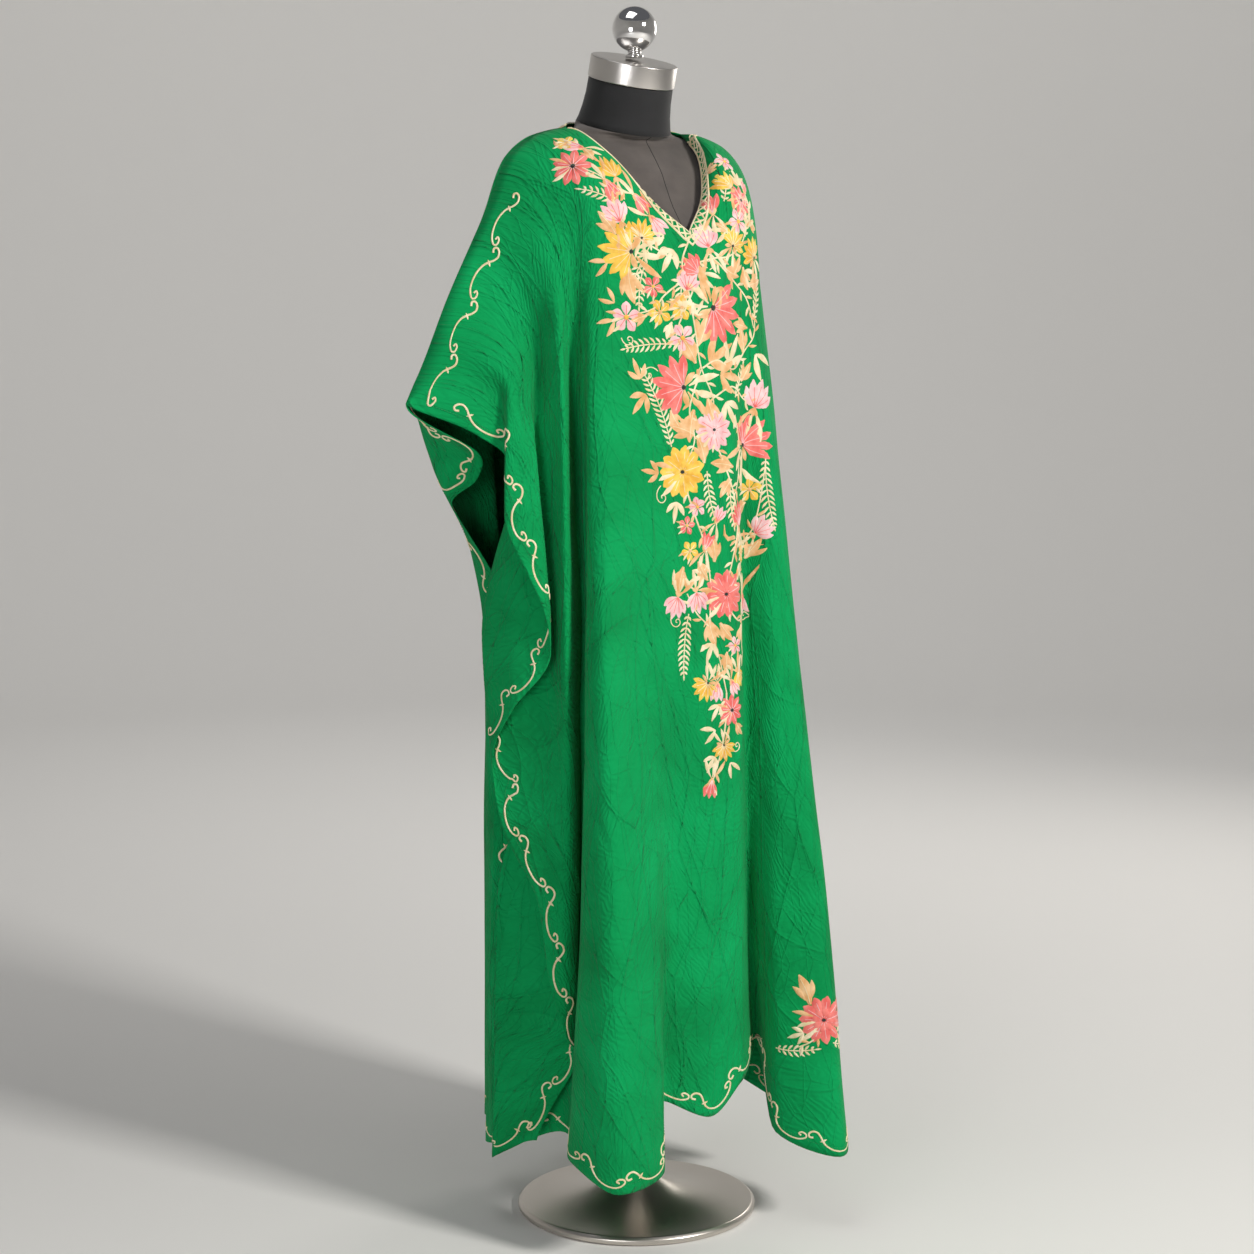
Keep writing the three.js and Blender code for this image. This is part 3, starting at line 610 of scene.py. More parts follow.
def jersey_finish(name, colour, light):
    """Fine stretched jersey, a little lighter in patches."""
    finish = Finish(name, colour, 0.85)
    finish.set(finish.shader, **{"Sheen Weight": 0.15, "Sheen Roughness": 0.5})
    place = finish.mapped()
    tone = finish.noise(place, 35.0, 3.0)
    finish.coloured(finish.ramp(tone, [(0.3, colour), (0.75, light)]))
    finish.shaped(finish.bump(finish.noise(place, 1400.0), 0.4, 0.0003))
    return finish.material


def steel_finish(name, colour, roughness, brushed=0.0, direction=(1, 1, 1)):
    """Steel, with fine brushed lines where a depth is given for them."""
    finish = Finish(name, colour, roughness, 1.0)
    if brushed:
        lines = finish.noise(finish.mapped(direction), 12.0, 4.0, 0.6)
        finish.shaped(finish.bump(lines, brushed, 0.0004))
    return finish.material


# Mesh helpers


def add_object(name, data):
    """An object in the scene's own collection."""
    made = bpy.data.objects.new(name, data)
    bpy.context.scene.collection.objects.link(made)
    return made


def new_piece(name, points, faces, material, uvs=None):
    """A piece in metres from points in millimetres, riding on the one body."""
    mesh = bpy.data.meshes.new(name)
    mesh.from_pydata((np.asarray(points) * MM).tolist(), [], faces)
    mesh.materials.append(material)
    if uvs is not None:
        layer = mesh.uv_layers.new(name="cloth")
        loops = np.empty(len(mesh.loops), dtype=np.int32)
        mesh.loops.foreach_get("vertex_index", loops)
        layer.data.foreach_set("uv", np.asarray(uvs, float)[loops].ravel())
    mesh.polygons.foreach_set("use_smooth", [True] * len(mesh.polygons))
    mesh.update()
    piece = add_object(name, mesh)
    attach(piece, "root")
    return piece


def cloth_piece(name, cloth, material):
    """The panel as a thin closed shell, a little thicker where its hem is turned."""
    rows, wide = cloth.points.shape[:2]
    half = np.full((rows, wide), CLOTH_THICKNESS / 2)
    down_run = np.cumsum(np.linalg.norm(np.diff(cloth.points[::-1], axis=0), axis=-1), axis=0)[::-1]
    from_hem = np.vstack([down_run, np.zeros((1, wide))])
    half += HEM_EXTRA * (1 - smoothstep(from_hem, *HEM_DEPTH))
    outer = cloth.points + cloth.normals * half[..., None]
    inner = cloth.points - cloth.normals * half[..., None]
    index = np.arange(rows * wide).reshape(rows, wide)
    back = index + rows * wide

    def quads(a, b, c, d):
        return np.stack([a.ravel(), b.ravel(), c.ravel(), d.ravel()], -1)

    faces = [
        quads(index[:-1, :-1], index[1:, :-1], index[1:, 1:], index[:-1, 1:]),
        quads(back[:-1, :-1], back[:-1, 1:], back[1:, 1:], back[1:, :-1]),
        quads(index[0, :-1], index[0, 1:], back[0, 1:], back[0, :-1]),
        quads(index[-1, :-1], back[-1, :-1], back[-1, 1:], index[-1, 1:]),
        quads(index[:-1, 0], back[:-1, 0], back[1:, 0], index[1:, 0]),
        quads(index[:-1, -1], index[1:, -1], back[1:, -1], back[:-1, -1]),
    ]
    points = np.concatenate([outer.reshape(-1, 3), inner.reshape(-1, 3)])
    uv = np.stack([flat.ravel() * MM for flat in cloth.flat_places()], -1)
    faces = np.concatenate(faces).tolist()
    return new_piece(name, points, faces, material, np.concatenate([uv, uv]))


def turned_points(profile, sides, lean=0.0, foot=(0, 0, 0)):
    """A profile of radius and height, turned about an axis that leans forward by this angle."""
    turn = math.radians(lean)
    axis = np.array([0, -math.sin(turn), math.cos(turn)])
    forward = np.array([0, math.cos(turn), math.sin(turn)])
    angles = 2 * np.pi * np.arange(sides) / sides
    ring = np.cos(angles)[:, None] * np.array([1.0, 0, 0]) + np.sin(angles)[:, None] * forward
    return [np.array(foot) + axis * up + ring * radius for radius, up in profile]


def ring_faces(count, sides):
    """Faces between neighbouring rings of points."""
    faces = []
    for r in range(count - 1):
        for s in range(sides):
            a, b = r * sides + s, r * sides + (s + 1) % sides
            faces.append((a, b, b + sides, a + sides))
    return faces


def ring_piece(name, rings, material):
    """A closed piece through rings, with its ends closed by fans."""
    sides = len(rings[0])
    points = list(np.concatenate(rings))
    faces = ring_faces(len(rings), sides)
    for r, turned in ((0, True), (len(rings) - 1, False)):
        hub = len(points)
        points.append(np.mean(rings[r], axis=0))
        for s in range(sides):
            a, b = r * sides + s, r * sides + (s + 1) % sides
            faces.append((hub, b, a) if turned else (hub, a, b))
    return new_piece(name, points, faces, material)


def rounded(profile, spots, radius, steps=4):
    """The profile with an arc in place of each listed corner."""
    made = []
    for i, point in enumerate(profile):
        if i not in spots:
            made.append(point)
            continue
        p = np.array(point, float)
        before, after = np.array(profile[i - 1], float), np.array(profile[i + 1], float)
        a = p + (before - p) / np.linalg.norm(before - p) * radius
        b = p + (after - p) / np.linalg.norm(after - p) * radius
        for k in range(steps + 1):
            t = k / steps
            made.append(tuple((1 - t) ** 2 * a + 2 * t * (1 - t) * p + t * t * b))
    return made


# Thread work

# Each thread's dark and light tone
THREAD_COLOURS = {
    "cream": ("E9D3A4", "FBEBC8"),
    "peach": ("E3A768", "F8CC99"),
    "coral": ("E9605A", "FB8C82"),
    "pink": ("EFB4B8", "FCD9D9"),
    "yellow": ("EBAF32", "FBD65A"),
    "dark": ("1A201C", "28322C"),
}

# The thread that draws the vein of a petal, by the petal's own
VEINS = {"coral": "pink", "pink": "coral", "yellow": "cream"}

# Leaves that show from behind a flower: turn, share of its size, bend and thread
COLLAR = [(150, 1.35, 24, "peach"), (-152, 1.3, -24, "cream"), (180, 1.1, 24, "cream")]

FLOWER_SCALE = 1.2
LEAF_SCALE = 1.05
STEM_HALF = 1.3
STEM_LEAF = 11
VEIN_SHARE = 0.72


class Thread:
    """Raised strips of thread of one colour, gathered into one mesh that lies on a panel."""

    SECTION = np.array([(-1, 0.0), (-0.62, 0.78), (0, 1.0), (0.62, 0.78), (1, 0.0)])
    EDGE_SINK = 0.55

    def __init__(self):
        self.points, self.faces, self.uvs, self.count = [], [], [], 0

    def strip(self, cloth, path, half, crown, base=0.45, under=False):
        """A domed strip along a path over the panel or under it, half as wide as given at each place."""
        path = np.asarray(path, float)
        half = np.broadcast_to(np.asarray(half, float), (len(path),))
        beside = cloth.beside(path)
        wide = len(self.SECTION)
        rows = []
        for offset, rise in self.SECTION:
            across, down = (path + beside * (half * offset)[:, None]).T
            lift = base + crown * rise * (half / half.max()) ** 0.5
            lift = lift if rise else np.full(len(path), base - self.EDGE_SINK)
            lift = -lift if under else lift
            rows.append(cloth.place(across, down) + cloth.normal(across, down) * lift[:, None])
        grid = np.stack(rows, 1)
        run = np.concatenate([[0], np.cumsum(np.linalg.norm(np.diff(grid[:, 2], axis=0), axis=1))])
        uv = np.stack([run[:, None] + np.zeros(wide), half[:, None] * self.SECTION[:, 0]], -1)
        index = self.count + np.arange(len(path) * wide).reshape(-1, wide)
        quads = np.stack([index[:-1, :-1], index[1:, :-1], index[1:, 1:], index[:-1, 1:]], -1).reshape(-1, 4)
        self.points.append(grid.reshape(-1, 3))
        self.uvs.append(uv.reshape(-1, 2) * MM)
        self.faces.extend((quads[:, ::-1] if under else quads).tolist())
        self.count += len(path) * wide

    def piece(self, name, material):
        """All the strips so far as one piece."""
        points, uvs = np.concatenate(self.points), np.concatenate(self.uvs)
        return new_piece(name, points, self.faces, material, uvs)


def bent(start, angle, length, bend=0.0, steps=7):
    """A curved line from a place, in millimetres: its heading, its length and how far it turns."""
    t = np.linspace(0, 1, steps)
    heading = np.radians(angle + bend * (t - 0.5))
    mid = (heading[1:] + heading[:-1]) / 2
    x = np.concatenate([[0], np.cumsum(np.cos(mid))]) * length / (steps - 1)
    y = np.concatenate([[0], np.cumsum(np.sin(mid))]) * length / (steps - 1)
    return np.stack([start[0] + x, start[1] + y], -1)


def petal_shape(width, steps=7, fullness=1.1, tip=0.12):
    """Half widths of a petal from its foot to its tip."""
    t = np.linspace(0, 1, steps)
    shape = np.sin(np.pi * np.clip(t, 0.06, 1) ** fullness) ** 0.75
    shape[-1] = tip
    return np.maximum(shape, tip) * width / 2


def through(points, steps=8):
    """A smooth line through given points."""
    points = np.asarray(points, float)
    ends = np.vstack([2 * points[0] - points[1], points, 2 * points[-1] - points[-2]])
    made = []
    for i in range(1, len(ends) - 2):
        p0, p1, p2, p3 = ends[i - 1:i + 3]
        for t in np.linspace(0, 1, steps, endpoint=False):
            made.append(0.5 * (2 * p1 + (p2 - p0) * t + (2 * p0 - 5 * p1 + 4 * p2 - p3) * t**2
                               + (3 * p1 - p0 - 3 * p2 + p3) * t**3))
    made.append(points[-1])
    return np.array(made)


class Sprays:
    """Flowers, leaves and stems, each drawn about an anchor on the front panel."""

    def __init__(self, cloth):
        self.cloth = cloth
        self.threads = {name: Thread() for name in THREAD_COLOURS}

    def draw(self, colour, anchor, line, half, crown=0.8, base=0.45):
        """A strip along a line in millimetres about the anchor."""
        across, down = anchor
        right, up = np.asarray(line, float).T
        path = np.stack(self.cloth.local(across, down, right, up), -1)
        self.threads[colour].strip(self.cloth, path, half, crown, base)

    def petal(self, colour, anchor, angle, foot, length, width, bend=0.0, vein=None, fullness=1.25, base=0.5):
        """A petal that starts a little way out from the anchor, with a vein where one is named."""
        start = (foot * math.cos(math.radians(angle)), foot * math.sin(math.radians(angle)))
        line = bent(start, angle, length, bend)
        self.draw(colour, anchor, line, petal_shape(width, fullness=fullness), 1.0, base)
        if vein:
            line = bent(start, angle, length * VEIN_SHARE, bend * VEIN_SHARE)
            self.draw(vein, anchor, line, 0.45, 0.5, base + 0.95)

    def dot(self, colour, anchor, radius):
        """A flower's round heart."""
        line = bent((-radius, 0), 0, 2 * radius)
        half = radius * np.sqrt(np.maximum(1 - np.linspace(-1, 1, 7) ** 2, 0.02))
        self.draw(colour, anchor, line, half, 1.2, 1.1)

    def collar(self, anchor, angle, size):
        """Leaves that show from behind a flower."""
        for turn, share, bend, kind in COLLAR:
            self.petal(kind, anchor, angle + turn, size * 0.2, size * share, size * 0.3, bend)

    def daisy(self, anchor, angle, size, colour, vein):
        for k in range(9):
            self.petal(colour, anchor, angle + 40 * k, size * 0.12, size * 0.9, size * 0.52, 6, vein)
        self.dot("dark", anchor, size * 0.11)

    def fan(self, anchor, angle, size, colour, vein):
        """Half a flower: pointed petals that spread from one side."""
        for k in range(7):
            turn = -78 + 26 * k
            length = size * (1.0 - 0.16 * abs(turn) / 78)
            wide, bend = size * 0.36, turn * 0.12
            self.petal(colour, anchor, angle + turn, size * 0.08, length, wide, bend, vein, 1.35)
        for turn, bend in ((-118, -20), (118, 20)):
            self.petal("peach", anchor, angle + turn, size * 0.05, size * 0.5, size * 0.24, bend)
        self.dot("dark", anchor, size * 0.07)

    def tulip(self, anchor, angle, size, colour, vein):
        for turn, share in ((-46, 0.82), (46, 0.82), (-23, 0.95), (23, 0.95), (0, 1.0)):
            self.petal(colour, anchor, angle + turn, 0, size * share, size * 0.42, -turn * 0.5, vein, 1.2)
        for turn in (-150, 150, 180):
            self.petal("peach", anchor, angle + turn, 0, size * 0.34, size * 0.16, 0)

    def round_flower(self, anchor, angle, size, colour, vein):
        """Eleven wide petals, with eight small ones raised over them."""
        for k in range(11):
            turn = angle + 360 / 11 * k
            self.petal(colour, anchor, turn, size * 0.12, size * 0.86, size * 0.5, 4, vein, 1.6)
        for k in range(8):
            turn = angle + 20 + 45 * k
            self.petal(colour, anchor, turn, size * 0.06, size * 0.46, size * 0.3, 0, None, 1.3, 1.2)
        self.dot("dark", anchor, size * 0.09)

    def bud(self, anchor, angle, size, colour, vein):
        for turn in (-20, 20, 0):
            self.petal(colour, anchor, angle + turn, 0, size, size * 0.4, -turn * 0.8, vein)
        for turn in (-32, 32):
            self.petal("peach", anchor, angle + turn, -size * 0.2, size * 0.55, size * 0.2, -turn)

    def blossom(self, anchor, angle, size, colour, vein):
        for k in range(5):
            self.petal(colour, anchor, angle + 72 * k, size * 0.08, size * 0.85, size * 0.72, 0, vein, 1.4)
        self.dot("yellow" if colour != "yellow" else "peach", anchor, size * 0.16)

    def leaf(self, anchor, angle, size, colour, vein):
        self.petal(colour, anchor, angle, 0, size, size * 0.42, 22, None, 1.0)
        for turn in (-24, 24):
            self.petal(colour, anchor, angle + turn, size * 0.18, size * 0.6, size * 0.24, 26, None, 1.0)
        self.draw(vein, anchor, bent((0, 0), angle, size * 0.85, 22), 0.5, 0.5, 1.3)

    def pair(self, anchor, angle, size, colour, vein):
        for turn in (-26, 26):
            self.petal(colour, anchor, angle + turn, 0, size, size * 0.32, -turn, None, 1.0)

    def trio(self, anchor, angle, size, colour, vein):
        for turn, share in ((-42, 0.75), (0, 1.0), (42, 0.75)):
            self.petal(colour, anchor, angle + turn, 0, size * share, size * 0.3, -turn * 0.7, None, 1.0)

    def fern(self, anchor, angle, size, colour, vein):
        """A stem with leaflets along both its sides, longest in the middle."""
        steps = max(5, int(size / 7))
        line = bent((0, 0), angle, size, 18, 2 * steps + 1)
        self.draw(colour, anchor, line, 1.0, 0.8)
        for k in range(steps):
            here = line[2 * k + 1]
            ahead = line[2 * k + 2] - here
            heading = math.degrees(math.atan2(ahead[1], ahead[0]))
            length = size * 0.06 + 8.0 * math.sin(math.pi * (k + 1.2) / (steps + 1.2))
            for turn in (-48, 48):
                leaflet = bent(here, heading + turn, length, -turn * 0.7, 5)
                self.draw(colour, anchor, leaflet, petal_shape(3.8, 5, 1.1), 0.8)
        self.draw(colour, anchor, bent(line[-1], heading, 8, 0, 5), petal_shape(3.2, 5), 0.6)

    def curl(self, anchor, angle, size, colour, vein):
        """A line that coils inwards."""
        t = np.linspace(0, 1, 22)
        heading = np.radians(angle) + 8.6 * t**1.3
        pace = (1 - 0.86 * t) * size * 0.26
        x = np.cumsum(np.cos(heading) * pace) - pace[0]
        y = np.cumsum(np.sin(heading) * pace)
        self.draw(colour, anchor, np.stack([x, y], -1) * 0.62, 0.9, 0.6)

    def stem(self, points, leaves):
        """A line through places given by x and height, with small leaves on both sides in turn."""
        line = through(points)
        path = np.array([self.cloth.find(x, z) for x, z in line])
        taper = np.linspace(1.15, 0.75, len(path))
        self.threads["cream"].strip(self.cloth, path, STEM_HALF * taper, 0.9)
        for k in range(leaves):
            i = int((k + 0.7) / (leaves + 0.4) * (len(line) - 2))
            ahead = line[i + 1] - line[i]
            side = 1 if k % 2 else -1
            angle = math.degrees(math.atan2(ahead[1], ahead[0])) + 44 * side
            kind = "peach" if k % 3 else "cream"
            length, wide = STEM_LEAF * 1.3, STEM_LEAF * 0.42
            self.petal(kind, tuple(path[i]), angle, 0, length, wide, -30 * side, None, 1.0)


# Flowers on the front: kind, colour, x, height, the way it opens in degrees and its size
FLOWERS = [
    ("daisy", "coral", -140, 1380, 10, 21),
    ("tulip", "yellow", -96, 1368, 100, 25),
    ("bud", "pink", -120, 1403, 160, 19),
    ("bud", "coral", -112, 1362, -60, 24),
    ("tulip", "pink", -102, 1312, 118, 27),
    ("bud", "coral", -75, 1345, -52, 24),
    ("bud", "pink", -56, 1318, -50, 24),
    ("fan", "yellow", -74, 1292, 70, 20),
    ("fan", "yellow", -88, 1275, 172, 34),
    ("blossom", "pink", 84, 1392, 20, 14),
    ("blossom", "yellow", -132, 1410, 0, 13),
    ("bud", "pink", 102, 1352, 60, 18),
    ("tulip", "yellow", 72, 1358, 110, 22),
    ("daisy", "coral", 86, 1342, 30, 17),
    ("bud", "coral", 40, 1325, 100, 24),
    ("blossom", "pink", 74, 1315, 40, 16),
    ("tulip", "pink", 24, 1282, 105, 26),
    ("fan", "yellow", 62, 1284, 60, 22),
    ("fan", "yellow", 108, 1270, 120, 22),
    ("tulip", "coral", 4, 1250, 140, 24),
    ("tulip", "pink", -14, 1228, 75, 24),
    ("blossom", "coral", -60, 1232, 60, 13),
    ("blossom", "pink", -98, 1194, 15, 18),
    ("blossom", "yellow", -52, 1200, 40, 15),
    ("blossom", "yellow", -22, 1206, 10, 15),
    ("blossom", "pink", -22, 1168, 50, 17),
    ("fan", "coral", 24, 1206, -38, 42),
    ("fan", "coral", -22, 1106, 168, 38),
    ("tulip", "pink", 104, 1078, 70, 32),
    ("round_flower", "pink", 22, 1052, 20, 24),
    ("fan", "coral", 84, 1030, 48, 33),
    ("round_flower", "yellow", -27, 1000, 15, 29),
    ("blossom", "yellow", 98, 972, 20, 15),
    ("tulip", "coral", 66, 928, 95, 27),
    ("blossom", "pink", -6, 955, 30, 12),
    ("bud", "pink", 22, 935, 60, 18),
    ("tulip", "pink", 104, 915, 40, 24),
    ("blossom", "coral", -22, 932, 10, 11),
    ("bud", "coral", 4, 900, 70, 20),
    ("blossom", "yellow", -18, 900, 50, 12),
    ("blossom", "yellow", 74, 892, 0, 13),
    ("round_flower", "coral", 34, 842, 20, 27),
    ("tulip", "pink", -38, 842, -110, 24),
    ("tulip", "pink", -10, 846, -80, 23),
    ("bud", "pink", 86, 836, -85, 22),
    ("blossom", "pink", 48, 775, 30, 11),
    ("fan", "yellow", 4, 730, -120, 20),
    ("tulip", "yellow", 52, 740, -60, 19),
    ("bud", "pink", 18, 728, -95, 20),
    ("bud", "pink", 40, 730, -60, 18),
    ("daisy", "coral", 40, 692, 10, 17),
    ("fan", "yellow", 26, 648, -80, 17),
    ("bud", "coral", 8, 604, -100, 20),
    ("round_flower", "coral", 142, 280, 15, 27),
]

# Leaves and small sprays: kind, colour, x, height, heading in degrees and length
LEAVES = [
    ("fern", "cream", -98, 1330, 150, 48), ("leaf", "peach", -108, 1296, 128, 34),
    ("pair", "peach", -118, 1262, 205, 22), ("leaf", "peach", -92, 1256, -80, 44),
    ("fern", "cream", -60, 1286, -118, 52), ("fern", "cream", -70, 1262, -100, 52),
    ("trio", "cream", -30, 1278, -120, 32), ("pair", "cream", -40, 1296, 200, 20),
    ("leaf", "peach", -116, 1388, 118, 24), ("trio", "cream", -128, 1404, 130, 24),
    ("pair", "peach", -142, 1402, 100, 18), ("trio", "peach", -90, 1350, 200, 20),
    ("curl", "cream", -34, 1262, 60, 22), ("curl", "cream", 22, 1252, 20, 24),
    ("fern", "cream", -14, 1262, -98, 60), ("leaf", "peach", 46, 1256, -20, 30),
    ("leaf", "peach", 64, 1248, 60, 26), ("trio", "peach", 40, 1232, -100, 30),
    ("fern", "cream", 88, 1296, 80, 48), ("leaf", "peach", 58, 1374, 60, 22),
    ("trio", "cream", 96, 1366, 20, 20), ("fern", "cream", 56, 1340, 80, 34),
    ("leaf", "peach", 98, 1316, -20, 26), ("pair", "cream", 50, 1302, 200, 20),
    ("leaf", "peach", 84, 1258, -70, 30), ("leaf", "peach", 96, 1236, 10, 34),
    ("pair", "cream", 86, 1252, -30, 24), ("trio", "cream", 98, 1310, 70, 26),
    ("trio", "cream", 92, 1362, 80, 24), ("pair", "cream", 104, 1332, 60, 20),
    ("leaf", "peach", 54, 1300, 140, 20), ("trio", "cream", 30, 1296, 150, 20),
    ("pair", "peach", -112, 1212, 140, 20), ("pair", "peach", -114, 1190, 215, 22),
    ("leaf", "peach", -70, 1196, 200, 24), ("trio", "cream", -2, 1196, 60, 22),
    ("leaf", "cream", -36, 1188, -110, 22), ("fern", "cream", -34, 1160, 184, 66),
    ("curl", "cream", -104, 1172, -80, 20), ("leaf", "peach", 0, 1158, 70, 42),
    ("leaf", "peach", -4, 1136, 120, 36), ("trio", "peach", 18, 1138, 30, 44),
    ("trio", "peach", 36, 1122, -10, 40), ("trio", "cream", 52, 1136, 60, 40),
    ("leaf", "peach", 84, 1148, 100, 34), ("leaf", "peach", 92, 1180, 170, 30),
    ("fern", "cream", 104, 1190, 75, 56), ("pair", "cream", 106, 1146, -50, 34),
    ("leaf", "peach", 78, 1112, 50, 30), ("curl", "cream", -52, 1124, 130, 24),
    ("fern", "cream", -42, 1032, 112, 96), ("trio", "peach", -84, 1118, 110, 26),
    ("trio", "peach", -78, 1098, -130, 30), ("leaf", "peach", -42, 1078, -60, 26),
    ("leaf", "peach", -8, 1078, -100, 40), ("leaf", "peach", 14, 1092, -70, 36),
    ("leaf", "peach", -8, 1046, 160, 38), ("leaf", "peach", 6, 1010, 105, 34),
    ("trio", "cream", 44, 1086, -60, 36), ("fern", "cream", 62, 1092, 60, 44),
    ("leaf", "peach", 52, 1004, 170, 34), ("leaf", "peach", 48, 988, -130, 28),
    ("fern", "cream", 116, 1012, -84, 84), ("trio", "peach", -64, 1000, 170, 26),
    ("curl", "cream", -52, 986, 210, 26), ("trio", "cream", -36, 962, -100, 26),
    ("fern", "cream", 10, 1000, -80, 60), ("fern", "cream", 46, 985, -85, 54),
    ("leaf", "peach", 92, 955, 200, 26), ("pair", "cream", 82, 1000, -70, 28),
    ("leaf", "peach", -28, 880, -105, 34), ("leaf", "peach", -6, 886, -60, 28),
    ("leaf", "peach", 18, 884, 95, 32), ("leaf", "peach", 92, 882, 60, 30),
    ("trio", "cream", 60, 878, -60, 26), ("trio", "cream", 2, 868, 200, 24),
    ("fern", "cream", -22, 820, -96, 74), ("curl", "cream", -42, 824, -120, 22),
    ("leaf", "peach", 8, 812, -75, 36), ("leaf", "peach", 24, 806, -50, 30),
    ("fern", "cream", 72, 820, -80, 58), ("leaf", "peach", 64, 800, -110, 26),
    ("curl", "cream", 84, 814, -80, 20), ("trio", "cream", 12, 780, -110, 26),
    ("leaf", "peach", 34, 768, -95, 26), ("pair", "cream", 58, 762, -70, 24),
    ("trio", "cream", 20, 700, -120, 22), ("leaf", "peach", 46, 676, -50, 22),
    ("pair", "cream", 14, 668, 200, 22), ("curl", "cream", 40, 642, -40, 18),
    ("trio", "cream", 12, 634, -120, 22), ("pair", "cream", 36, 624, -60, 20),
    ("leaf", "peach", 130, 300, 112, 40), ("fern", "cream", 104, 238, 4, 48),
    ("pair", "cream", 160, 262, -20, 22), ("fern", "cream", 150, 250, -10, 34),
    ("trio", "cream", 122, 262, 200, 22),
]

# Stems: x and height of the places that each one passes, then its number of small leaves
STEMS = [
    ([(-4, 1292), (-18, 1262), (-12, 1228), (-4, 1180), (4, 1132), (22, 1092), (20, 1062)], 6),
    ([(6, 1130), (30, 1140), (60, 1128), (86, 1150), (104, 1172), (106, 1210)], 6),
    ([(22, 1092), (56, 1106), (84, 1090), (102, 1082)], 4),
    ([(4, 1128), (-14, 1080), (-8, 1040), (-20, 1012)], 4),
    ([(22, 1040), (36, 1010), (52, 970), (60, 930), (48, 890), (38, 862)], 7),
    ([(60, 1070), (72, 1030), (66, 990), (52, 965)], 4),
    ([(-24, 984), (-8, 940), (6, 900), (12, 850), (10, 800), (22, 760), (32, 715)], 8),
    ([(38, 850), (66, 870), (92, 906), (104, 930), (116, 1010)], 5),
    ([(34, 826), (58, 806), (76, 822), (86, 840)], 3),
    ([(10, 800), (-10, 820), (-24, 846)], 2),
    ([(32, 715), (30, 680), (22, 640), (10, 605), (6, 588)], 5),
    ([(-20, 1262), (-52, 1278), (-84, 1296), (-104, 1322), (-112, 1362), (-132, 1378)], 6),
    ([(-18, 1240), (-44, 1222), (-62, 1204), (-96, 1196)], 4),
    ([(-6, 1226), (-26, 1186), (-34, 1160)], 3),
    ([(4, 1262), (30, 1268), (58, 1272), (84, 1292), (92, 1330), (88, 1380)], 7),
    ([(30, 1266), (64, 1240), (92, 1216), (104, 1180)], 4),
    ([(142, 270), (128, 252), (112, 240)], 2),
]


PATH_STEP = 3.0


def edge_path(cloth, edge, start, end, inset):
    """A line that keeps its distance inside one edge of the panel, with a place every few millimetres.

    The edge is top, hem, first or last, the line runs between two shares of it, and the distance is
    measured along the cloth.
    """
    t = np.linspace(start, end, 260)[:, None]
    reach = np.linspace(0, 0.2, 61)[None, :]
    if edge in ("top", "hem"):
        across = t + 0 * reach
        down = 0 * t + (reach * 0.6 if edge == "top" else 1 - reach * 0.4)
    else:
        across = (reach - 1 if edge == "first" else 1 - reach) + 0 * t
        down = t + 0 * reach
    spots = cloth.place(across, down)
    edge_way = unit(np.gradient(spots[:, 0], axis=0))
    inward = unit(spots[:, 3] - spots[:, 0])
    square = np.sqrt(np.maximum(1 - np.sum(edge_way * inward, axis=1) ** 2, 0.12))
    run = np.cumsum(np.linalg.norm(np.diff(spots, axis=1), axis=2), axis=1)
    run = np.concatenate([np.zeros((len(run), 1)), run], axis=1)
    places = []
    for k in range(len(t)):
        goal = inset / square[k]
        places.append([np.interp(goal, run[k], across[k]), np.interp(goal, run[k], down[k])])
    path = cloth.inside(np.array(places))
    spots = cloth.place(path[:, 0], path[:, 1])
    run = np.concatenate([[0], np.cumsum(np.linalg.norm(np.diff(spots, axis=0), axis=1))])
    even = np.arange(0, run[-1], PATH_STEP)
    path = np.stack([np.interp(even, run, path[:, c]) for c in (0, 1)], -1)
    for _ in range(4):
        path[1:-1] = (path[:-2] + 2 * path[1:-1] + path[2:]) / 4
    return path


SCROLL = {"period": 74.0, "reach": 9.5, "half": 1.6}
KNOT = {"at": 0.28, "length": 7, "slant": 0.8, "width": 3.4}

# Runs of the scroll on both panels: edge, the shares where it starts and ends, distance from the edge
SCROLL_RUNS = [
    ("top", -0.42, -0.985, 30),
    ("first", 0.02, 0.985, 17),
    ("hem", -0.97, 0.97, 17),
    ("last", 0.985, 0.02, 17),
    ("top", 0.985, 0.42, 30),
]

# One stroke of the scroll, from one curl's heart to the next: along it in periods, beside it in reaches
STROKE = [
    (0.1, 0.1), (0.03, 0.0), (0.0, 0.4), (0.05, 0.85), (0.14, 0.95), (0.22, 0.55),
    (0.28, 0.0), (0.36, -0.5), (0.5, -0.9), (0.68, -1.0), (0.85, -0.8), (0.96, -0.3),
    (0.95, 0.15), (0.87, 0.25), (0.82, -0.05), (0.87, -0.25),
]


